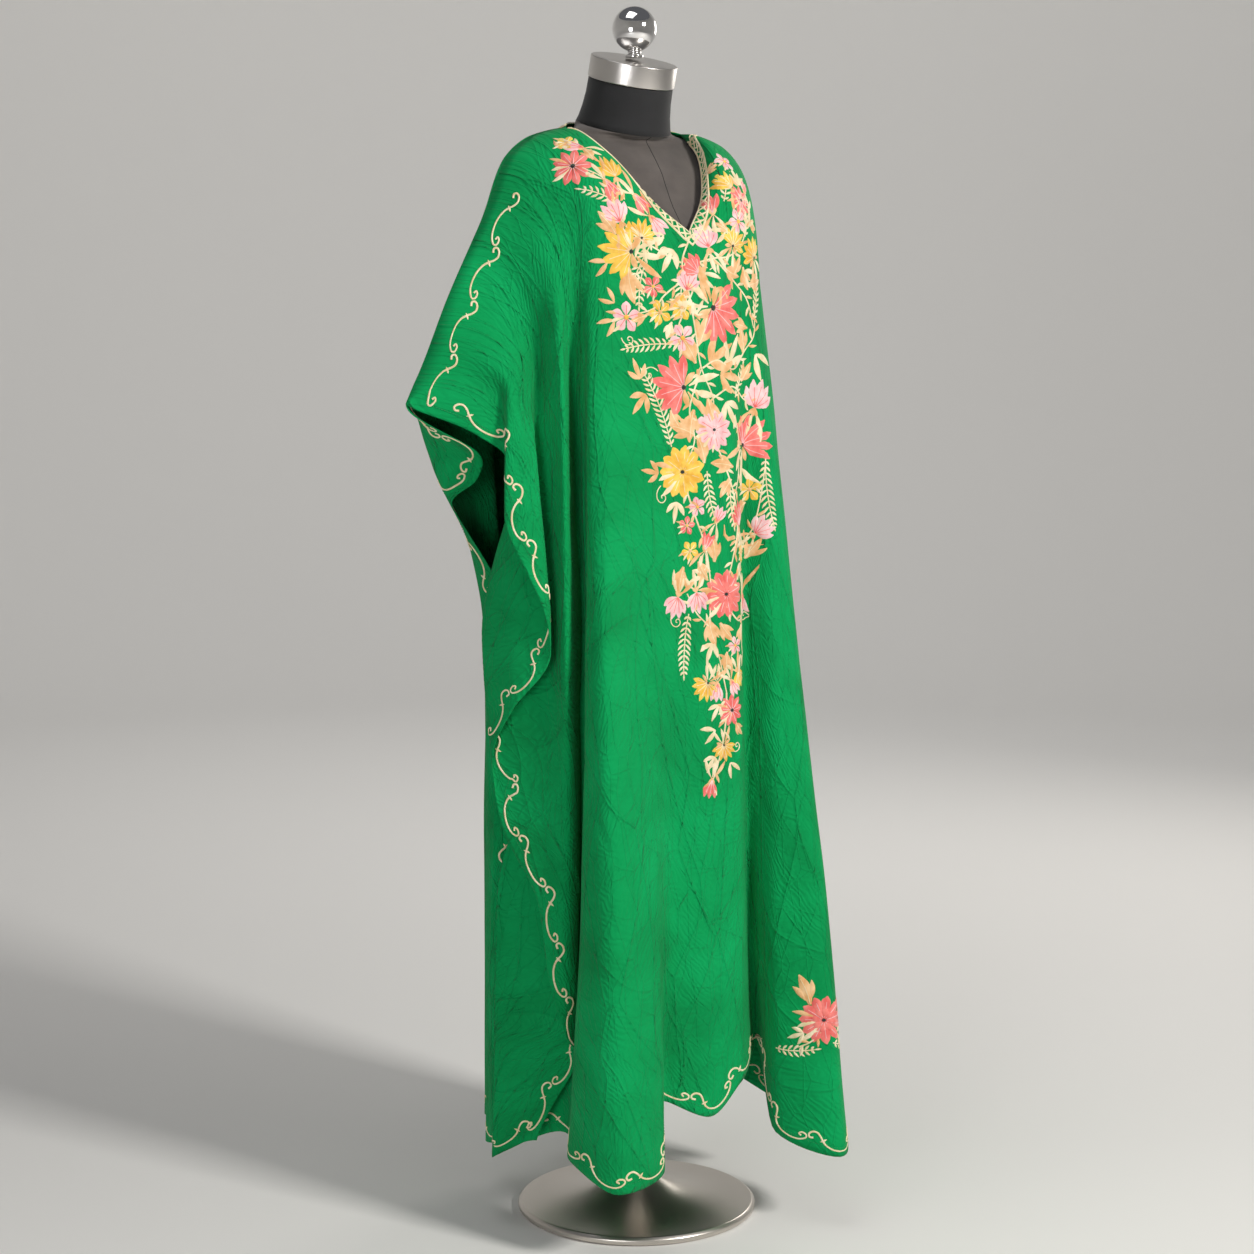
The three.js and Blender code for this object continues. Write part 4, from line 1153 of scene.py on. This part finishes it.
def scroll(thread, cloth, path):
    """The cream scroll: a winding line with a hooked curl in each hollow and a knot at each crossing."""
    along = cloth.heading(path)[1]
    length = PATH_STEP * (len(path) - 1)
    waves = max(1, round(length / SCROLL["period"]))
    period = length / waves

    def spot(s, t):
        """Places on the panel at distances along the path and beside it."""
        at = np.clip(np.asarray(s, float) / PATH_STEP, 0, len(path) - 1.001)
        i = at.astype(int)
        f = (at - i)[:, None]
        centre = path[i] * (1 - f) + path[i + 1] * f
        way = along[i] * (1 - f) + along[i + 1] * f
        beside = left_of(way) * np.asarray(t, float)[:, None]
        place = centre
        for _ in range(3):
            here = cloth.metric(place[:, 0], place[:, 1])
            place = cloth.inside(place + np.linalg.solve(here, beside[..., None] / 3)[..., 0])
        return place

    def line(s, t, width, crown=0.9):
        """The thread on the panel's outside, and a thinner one behind it."""
        place = spot(s, t)
        thread.strip(cloth, place, width, crown)
        thread.strip(cloth, place, np.asarray(width) * 0.9, crown * 0.7, under=True)

    stroke = through(STROKE, 4)
    taper = np.linspace(SCROLL["half"], SCROLL["half"] * 0.85, len(stroke))
    knot = KNOT["length"] * (np.linspace(0, 1, 5) - 0.35)
    for k in range(waves):
        line((k + stroke[:, 0]) * period, stroke[:, 1] * SCROLL["reach"], taper)
        for side in (-1, 1):
            middle = (k + KNOT["at"]) * period
            line(middle + knot, side * knot * KNOT["slant"], petal_shape(KNOT["width"], 5, 1.0))


# The neck braid: distance from the edge, its two lines, and the small leaves that cross between them
BRAID = {"inset": 8.5, "line": 6.6, "half": 1.7, "leaf_reach": 5.4, "leaf_width": 3.4, "leaf_steps": 4}


def braid(thread, cloth, path):
    """The neck braid: two lines with a lattice of small leaves between them."""
    beside = cloth.beside(path)
    for side in (-1, 1):
        thread.strip(cloth, cloth.inside(path + beside * side * BRAID["line"]), BRAID["half"], 1.3)
    t = np.linspace(0, 1, 6)[:, None]
    steps, reach = BRAID["leaf_steps"], BRAID["leaf_reach"]
    for i in range(0, len(path) - steps - 1, steps):
        for low, high in ((-reach, reach), (reach, -reach)):
            line = path[i] * (1 - t) + path[i + steps] * t
            line = line + beside[i] * (1 - t) * low + beside[i + steps] * t * high
            thread.strip(cloth, cloth.inside(line), petal_shape(BRAID["leaf_width"], 6, 1.0, 0.5), 1.2)


def count_property(name, description, default):
    """A number of grid lines that a user can change."""
    return bpy.props.IntProperty(name=name, description=description, default=default, min=8)


def colour_property(name, description, code):
    """A colour that a user can change, from its code."""
    return bpy.props.FloatVectorProperty(
        name=name, description=description, subtype="COLOR", size=3, min=0, max=1, default=srgb(code),
    )


class KaftanSizes(bpy.types.PropertyGroup):
    """Sizes and colours that a user would change."""

    columns_right: count_property("Columns, right", "Grid columns of the front's right half", 150)
    columns_left: count_property("Columns, left", "Grid columns of the front's left half", 86)
    rows: count_property("Rows", "Grid rows of the front from shoulder to hem", 190)
    cloth_dark: colour_property("Cloth, dark", "Darkest tone of the cloth", "018043")
    cloth_mid: colour_property("Cloth, middle", "Main tone of the cloth", "028F4D")
    cloth_light: colour_property("Cloth, light", "Lightest tone of the cloth", "059A56")
    stitch_dark: colour_property("Stitches, dark", "Darker tone of the hem's thread", "067A42")
    stitch_light: colour_property("Stitches, light", "Lighter tone of the hem's thread", "0A8B4C")
    form_dark: colour_property("Form, dark", "Darker tone of the form's jersey", "4A4441")
    form_light: colour_property("Form, light", "Lighter tone of the form's jersey", "57504C")


# The two panels, kept for the thread work that lies on them
WORK = {}


class KAFTAN_OT_panels(bpy.types.Operator):
    """Make the front and back panels"""

    bl_idname = "kaftan.panels"
    bl_label = "Cloth panels"

    def execute(self, context):
        sizes = context.scene.kaftan_sizes
        green = (sizes.cloth_dark, sizes.cloth_mid, sizes.cloth_light)
        material = cloth_finish("crinkled_green_cotton", *green)
        WORK["front"] = front_cloth((sizes.columns_right, sizes.columns_left), sizes.rows)
        WORK["back"] = back_cloth(*BACK_GRID)
        for name, cloth in WORK.items():
            piece = cloth_piece(name + "_panel", cloth, material)
            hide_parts(name)
        return {"FINISHED"}


class KAFTAN_OT_embroidery(bpy.types.Operator):
    """Sew the flowers, the neck braid and the scroll borders"""

    bl_idname = "kaftan.embroidery"
    bl_label = "Embroidery"

    def execute(self, context):
        front = WORK["front"]
        sprays = Sprays(front)
        cream = sprays.threads["cream"]
        for points, leaves in STEMS:
            sprays.stem(points, 2 * leaves)
        for kind, colour, x, height, angle, size in LEAVES:
            anchor = front.find(x, height)
            getattr(sprays, kind)(anchor, angle, size * LEAF_SCALE, colour, "cream")
        for kind, colour, x, height, angle, size in FLOWERS:
            anchor = front.find(x, height)
            sprays.collar(anchor, angle, size)
            getattr(sprays, kind)(anchor, angle, size * FLOWER_SCALE, colour, VEINS[colour])
        ends = NECK_REACH * 0.985
        for cloth in WORK.values():
            braid(cream, cloth, edge_path(cloth, "top", -ends, ends, BRAID["inset"]))
        for cloth in WORK.values():
            for run in SCROLL_RUNS:
                scroll(cream, cloth, edge_path(cloth, *run))
        for colour, thread in sprays.threads.items():
            name = "thread_" + colour
            thread.piece(name, thread_finish(name, *map(srgb, THREAD_COLOURS[colour])))
        return {"FINISHED"}


# Dress form as level rings: height, ridge, half width, front, back, lean and squareness
FORM_RINGS = [
    (715, 5, 135, 90, 94, 0, 2.25),
    (722, 5, 142, 97, 101, 0, 2.25),
    (830, 8, 150, 102, 116, 0, 2.25),
    (930, 8, 134, 94, 98, 0, 2.25),
    (1020, 8, 120, 92, 80, 0, 2.25),
    (1120, 10, 140, 108, 88, 0, 2.25),
    (1220, 14, 158, 126, 94, 0, 2.25),
    (1290, 20, 170, 121, 88, 0, 2.25),
    (1340, 24, 180, 94, 78, 0, 2.25),
    (1372, 28.5, 184, 82, 70, 0, 1.9),
    (1388.5, 28.5, 181, 72, 62, 1, 1.6),
    (1409.5, 28.5, 158.5, 56, 53, 2, 1.35),
    (1421.5, 28, 132, 48, 50, 4, 1.15),
    (1429.5, 28, 87, 54, 52, 9, 1.35),
    (1438, 28, 64, 58, 60, 15, 2),
]
RING_STEPS = 6
NECK = {"lean": 15, "foot": (0, 28, 1438), "length": 59}
NECK_PROFILE = [(61, 0.4), (62, 1.6), (60, 8), (57.5, 21), (55.6, 38), (55, 57), (54.2, 58.6)]
CAP = {"radius": 56.5, "height": 27.5}
FINIAL = {"stem": 8.5, "ball": 28.7, "ball_height": 1561}
STAND = {"pole": 16, "base": 160, "rim": 12, "cone": 46, "form_bottom": 715}
JOINT = 0.3
SEAM_RADIUS = 0.55


class Torso:
    """The padded torso's surface, smoothed between its rings."""

    def __init__(self):
        heights = [row[0] for row in FORM_RINGS]
        self.curves = [gentle_curve(heights, [row[c] for row in FORM_RINGS]) for c in range(1, 7)]

    def ring(self, height, angles, shrink=0.5):
        """Points round the torso at a height, a little inside the solid."""
        ridge, half, front, back, lean, square = (float(curve(height)) for curve in self.curves)
        c, s = np.cos(angles), np.sin(angles)
        squared = [np.sign(v) * np.abs(v) ** (2 / square) for v in (c, s)]
        y = squared[1] * np.where(s < 0, front - shrink, back - shrink)
        lift = np.tan(math.radians(lean))
        return np.stack([(half - shrink) * squared[0], ridge + y, height + y * lift], -1)


def tube(name, path, radius, material, sides=6):
    """A thin cord along a line of places in millimetres."""
    path = np.asarray(path, float)
    way = unit(np.gradient(path, axis=0))
    first = unit(np.cross(way, [0.3, 0.5, 0.81]))
    second = np.cross(way, first)
    angles = 2 * np.pi * np.arange(sides) / sides
    c, s = np.cos(angles)[:, None], np.sin(angles)[:, None]
    rings = [p + radius * (c * a + s * b) for p, a, b in zip(path, first, second)]
    return ring_piece(name, rings, material)


def base_profile():
    """The stand's base, from its underside's centre over the rim and up to the pole's socket."""
    edge, rim = STAND["base"], STAND["rim"]
    outline = [(0.01, 0), (edge - 4, 0), (edge, 3), (edge, rim - 4), (edge - 4, rim)]
    inner = STAND["pole"] + 10
    for i in range(1, 41):
        s = i / 40
        radius = edge - 4 + (inner - edge + 4) * s
        outline.append((radius, rim + (STAND["cone"] - rim) * s**2.6))
    outline.append((STAND["pole"] + 0.6, STAND["cone"]))
    return rounded(outline, {1, 2, 3, 4, len(outline) - 2}, 1.4)


# Machine stitches in metres, and where their rows run: inset from the edge and lift off the cloth
STITCH = {"Pitch": 0.0036, "Length": 0.0026, "Width": 0.0007}
STITCH_INSET = 12
STITCH_LIFT = 0.95
STITCH_ROWS = [("first", 0.01, 0.99), ("hem", -0.985, 0.985), ("last", 0.99, 0.01)]


def stitch_nodes():
    """Short stitches at an even pitch along every line of a mesh."""
    group = bpy.data.node_groups.new("hem_stitches", "GeometryNodeTree")
    face, nodes, links = group.interface, group.nodes, group.links
    face.new_socket("Geometry", in_out="INPUT", socket_type="NodeSocketGeometry")
    for name in ("Pitch", "Length", "Width"):
        face.new_socket(name, in_out="INPUT", socket_type="NodeSocketFloat")
    face.new_socket("Thread", in_out="INPUT", socket_type="NodeSocketMaterial")
    face.new_socket("Geometry", in_out="OUTPUT", socket_type="NodeSocketGeometry")
    given, made = nodes.new("NodeGroupInput"), nodes.new("NodeGroupOutput")
    curve = nodes.new("GeometryNodeMeshToCurve")
    even = nodes.new("GeometryNodeResampleCurve")
    even.mode = "LENGTH"
    tangent = nodes.new("GeometryNodeInputTangent")
    aim = nodes.new("FunctionNodeAlignRotationToVector")
    aim.axis = "X"
    ball = nodes.new("GeometryNodeMeshIcoSphere")
    ball.inputs["Radius"].default_value = 0.5
    ball.inputs["Subdivisions"].default_value = 1
    size = nodes.new("ShaderNodeCombineXYZ")
    place = nodes.new("GeometryNodeInstanceOnPoints")
    real = nodes.new("GeometryNodeRealizeInstances")
    thread = nodes.new("GeometryNodeSetMaterial")
    for source, output, target, socket in (
        (given, "Geometry", curve, "Mesh"),
        (curve, "Curve", even, "Curve"),
        (given, "Pitch", even, "Length"),
        (even, "Curve", place, "Points"),
        (ball, "Mesh", place, "Instance"),
        (tangent, "Tangent", aim, "Vector"),
        (aim, "Rotation", place, "Rotation"),
        (given, "Length", size, "X"),
        (given, "Width", size, "Y"),
        (given, "Width", size, "Z"),
        (size, "Vector", place, "Scale"),
        (place, "Instances", real, "Geometry"),
        (real, "Geometry", thread, "Geometry"),
        (given, "Thread", thread, "Material"),
        (thread, "Geometry", made, "Geometry"),
    ):
        links.new(source.outputs[output], target.inputs[socket])
    return group


class KAFTAN_OT_stitches(bpy.types.Operator):
    """Sew the turned hems with a row of machine stitches"""

    bl_idname = "kaftan.stitches"
    bl_label = "Hem stitches"

    def execute(self, context):
        sizes = context.scene.kaftan_sizes
        group = stitch_nodes()
        inputs = [item for item in group.interface.items_tree if item.in_out == "INPUT"]
        sockets = {item.name: item.identifier for item in inputs}
        thread = thread_finish("stitch_green", sizes.stitch_dark, sizes.stitch_light)
        for name, cloth in WORK.items():
            points, edges = [], []
            for edge, start, end in STITCH_ROWS:
                path = edge_path(cloth, edge, start, end, STITCH_INSET)
                line = cloth.place(*path.T) + cloth.normal(*path.T) * STITCH_LIFT
                edges.extend((len(points) + k, len(points) + k + 1) for k in range(len(line) - 1))
                points.extend(line)
            mesh = bpy.data.meshes.new(name + "_stitches")
            mesh.from_pydata((np.array(points) * MM).tolist(), edges, [])
            row = add_object(name + "_stitches", mesh)
            sew = row.modifiers.new("stitches", "NODES")
            sew.node_group = group
            for socket, value in {**STITCH, "Thread": thread}.items():
                sew[sockets[socket]] = value
            context.view_layer.update()
            made = row.evaluated_get(context.evaluated_depsgraph_get())
            done = bpy.data.meshes.new_from_object(made)
            row.modifiers.remove(sew)
            row.data = done
            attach(row, "root")
        return {"FINISHED"}


class KAFTAN_OT_form(bpy.types.Operator):
    """Make the dress form's torso, neck, cap and finial"""

    bl_idname = "kaftan.form"
    bl_label = "Dress form"

    def execute(self, context):
        sizes = context.scene.kaftan_sizes
        jersey = jersey_finish("form_jersey", sizes.form_dark, sizes.form_light)
        cover = jersey_finish("neck_cover", srgb("121214"), srgb("18181B"))
        seam = jersey_finish("seam_line", srgb("1B1918"), srgb("211F1E"))
        brushed = steel_finish("brushed_cap", (0.66, 0.63, 0.6), 0.28, 0.25, (6, 6, 260))
        polished = steel_finish("polished_ball", (0.84, 0.83, 0.82), 0.06)
        torso = Torso()
        heights = []
        for low, high in zip(FORM_RINGS, FORM_RINGS[1:]):
            heights.extend(np.linspace(low[0], high[0], RING_STEPS + 1)[:-1])
        heights.append(FORM_RINGS[-1][0])
        angles = 2 * np.pi * np.arange(128) / 128
        rings = [torso.ring(h, angles) for h in heights]
        body = ring_piece("torso_body", rings, jersey)
        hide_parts("form_torso")
        front = [torso.ring(h, np.array([-np.pi / 2]))[0] for h in heights[::-1]]
        tube("centre_seam", front, SEAM_RADIUS, seam)
        rings = turned_points(NECK_PROFILE, 96, NECK["lean"], NECK["foot"])
        neck = ring_piece("neck_body", rings, cover)
        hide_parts("form_neck")
        low, high, wide = NECK["length"], NECK["length"] + CAP["height"], CAP["radius"]
        outline = [(wide - 3, low), (wide, low), (wide, high), (0.01, high)]
        ring = [(wide - 0.6, low), *rounded(outline, {1, 2}, 1.5, 5)[1:-1], (6, high)]
        rings = turned_points(ring, 144, NECK["lean"], NECK["foot"])
        cap = ring_piece("cap_body", rings, brushed)
        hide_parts("neck_cap")
        lean = math.radians(NECK["lean"])
        centre_y = NECK["foot"][1] - high * math.sin(lean)
        stem, ball, up = FINIAL["stem"], FINIAL["ball"], FINIAL["ball_height"]
        foot = NECK["foot"][2] + high * math.cos(lean) + (stem + 3) * math.sin(lean) + JOINT
        outline = [(0.01, foot), (stem + 3, foot), (stem + 3, foot + 3), (stem, foot + 4.5)]
        outline = rounded(outline, {1, 2}, 0.5)
        start = math.asin(stem / ball)
        for i in range(49):
            angle = start + (math.pi - start) * i / 48
            outline.append((max(ball * math.sin(angle), 0.01), up - ball * math.cos(angle)))
        rings = turned_points(outline, 96, 0, (0, centre_y, 0))
        knob = ring_piece("finial_ball", rings, polished)
        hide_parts("finial")
        return {"FINISHED"}


class KAFTAN_OT_stand(bpy.types.Operator):
    """Make the steel pole and base"""

    bl_idname = "kaftan.stand"
    bl_label = "Stand"

    def execute(self, context):
        satin = steel_finish("satin_base", (0.62, 0.58, 0.53), 0.32, 0.12, (4, 4, 40))
        rod = STAND["pole"]
        profile = [(rod, STAND["cone"] + JOINT), (rod, STAND["form_bottom"] - JOINT)]
        pole = ring_piece("pole_rod", turned_points(profile, 64), satin)
        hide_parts("pole")
        base = ring_piece("base_dish", turned_points(base_profile(), 180), satin)
        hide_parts("base")
        return {"FINISHED"}


CAMERA = {"lens": 73.55, "sensor": 36.0, "place": (-2.0733, -2.6327, 1.2), "tilt": 83.0, "turn": -38.0}
WORLD = {"Color": (0.9, 0.92, 1.0, 1), "Strength": 0.12}

# The round floor in metres: its flat rings, the bend where it turns up, and its rim
FLOOR = {"flat": (0.01, 1.5, 3.0, 4.5), "bend": 2.5, "steps": 16, "rim": 6.5, "sides": 128}


def floor_profile():
    """The floor from its middle outwards, bending up into the backdrop."""
    edge, bend, steps = FLOOR["flat"][-1], FLOOR["bend"], FLOOR["steps"]
    profile = [(radius, 0) for radius in FLOOR["flat"]]
    for k in range(1, steps + 1):
        angle = math.pi / 2 * k / steps
        profile.append((edge + bend * math.sin(angle), bend - bend * math.cos(angle)))
    profile.append((edge + bend, FLOOR["rim"]))
    return profile


# Lights: name, place, aim, power, width and colour
LIGHTS = [
    ("key", (0.75, -3.3, 2.6), (0, 0, 0.85), 126, 0.6, (1.0, 0.98, 0.94)),
    ("fill", (-3.1, -2.0, 1.0), (0, 0, 0.9), 32, 1.0, (0.97, 0.98, 1.0)),
    ("rim", (3.0, 0.9, 1.9), (0, 0, 1.0), 18, 1.0, (1.0, 0.96, 0.9)),
    ("top", (-0.8, -0.2, 3.6), (0, 0, 0.9), 14, 1.4, (1.0, 1.0, 1.0)),
    ("backdrop", (1.2, 1.8, 3.6), (4.2, 5.4, 1.2), 58, 2.4, (1.0, 0.99, 0.97)),
]


class KAFTAN_OT_stage(bpy.types.Operator):
    """Make the floor, the lights and the camera"""

    bl_idname = "kaftan.stage"
    bl_label = "Floor, lights and camera"

    def execute(self, context):
        pale = Finish("pale_floor", (0.8, 0.79, 0.77), 0.85)
        rings = turned_points(floor_profile(), FLOOR["sides"])
        mesh = bpy.data.meshes.new("floor")
        mesh.from_pydata(np.concatenate(rings).tolist(), [], ring_faces(len(rings), FLOOR["sides"]))
        mesh.materials.append(pale.material)
        mesh.polygons.foreach_set("use_smooth", [True] * len(mesh.polygons))
        add_object("floor", mesh)
        for name, place, aim, power, width, tint in LIGHTS:
            lamp = bpy.data.lights.new(name, "AREA")
            lamp.energy, lamp.size, lamp.color = power, width, tint
            holder = add_object(name, lamp)
            holder.location = place
            holder.rotation_euler = (Vector(aim) - Vector(place)).to_track_quat("-Z", "Y").to_euler()
        world = bpy.data.worlds.new("studio")
        world.use_nodes = True
        Finish.set(world.node_tree.nodes["Background"], **WORLD)
        context.scene.world = world
        lens = bpy.data.cameras.new("camera")
        lens.lens, lens.sensor_width = CAMERA["lens"], CAMERA["sensor"]
        camera = add_object("camera", lens)
        camera.location = CAMERA["place"]
        camera.rotation_euler = (math.radians(CAMERA["tilt"]), 0, math.radians(CAMERA["turn"]))
        context.scene.camera = camera
        context.scene.view_settings.view_transform = "Standard"
        return {"FINISHED"}


class KAFTAN_PT_panel(bpy.types.Panel):
    """The kaftan's steps, in order"""

    bl_idname = "KAFTAN_PT_panel"
    bl_label = "Kaftan"
    bl_space_type = "VIEW_3D"
    bl_region_type = "UI"
    bl_category = "Kaftan"

    def draw(self, context):
        for operator in OPERATORS:
            self.layout.operator(operator.bl_idname)


OPERATORS = [
    KAFTAN_OT_stage,
    KAFTAN_OT_form,
    KAFTAN_OT_stand,
    KAFTAN_OT_panels,
    KAFTAN_OT_embroidery,
    KAFTAN_OT_stitches,
]
GROUPS = [(KaftanSizes, "kaftan_sizes")]


def register():
    for group, name in GROUPS:
        bpy.utils.register_class(group)
        setattr(bpy.types.Scene, name, bpy.props.PointerProperty(type=group))
    for operator in OPERATORS:
        bpy.utils.register_class(operator)
    bpy.utils.register_class(KAFTAN_PT_panel)


def unregister():
    bpy.utils.unregister_class(KAFTAN_PT_panel)
    for operator in reversed(OPERATORS):
        bpy.utils.unregister_class(operator)
    for group, name in reversed(GROUPS):
        delattr(bpy.types.Scene, name)
        bpy.utils.unregister_class(group)


def main():
    register()
    for operator in OPERATORS:
        group, action = operator.bl_idname.split(".")
        getattr(getattr(bpy.ops, group), action)()


if __name__ == "__main__":
    main()
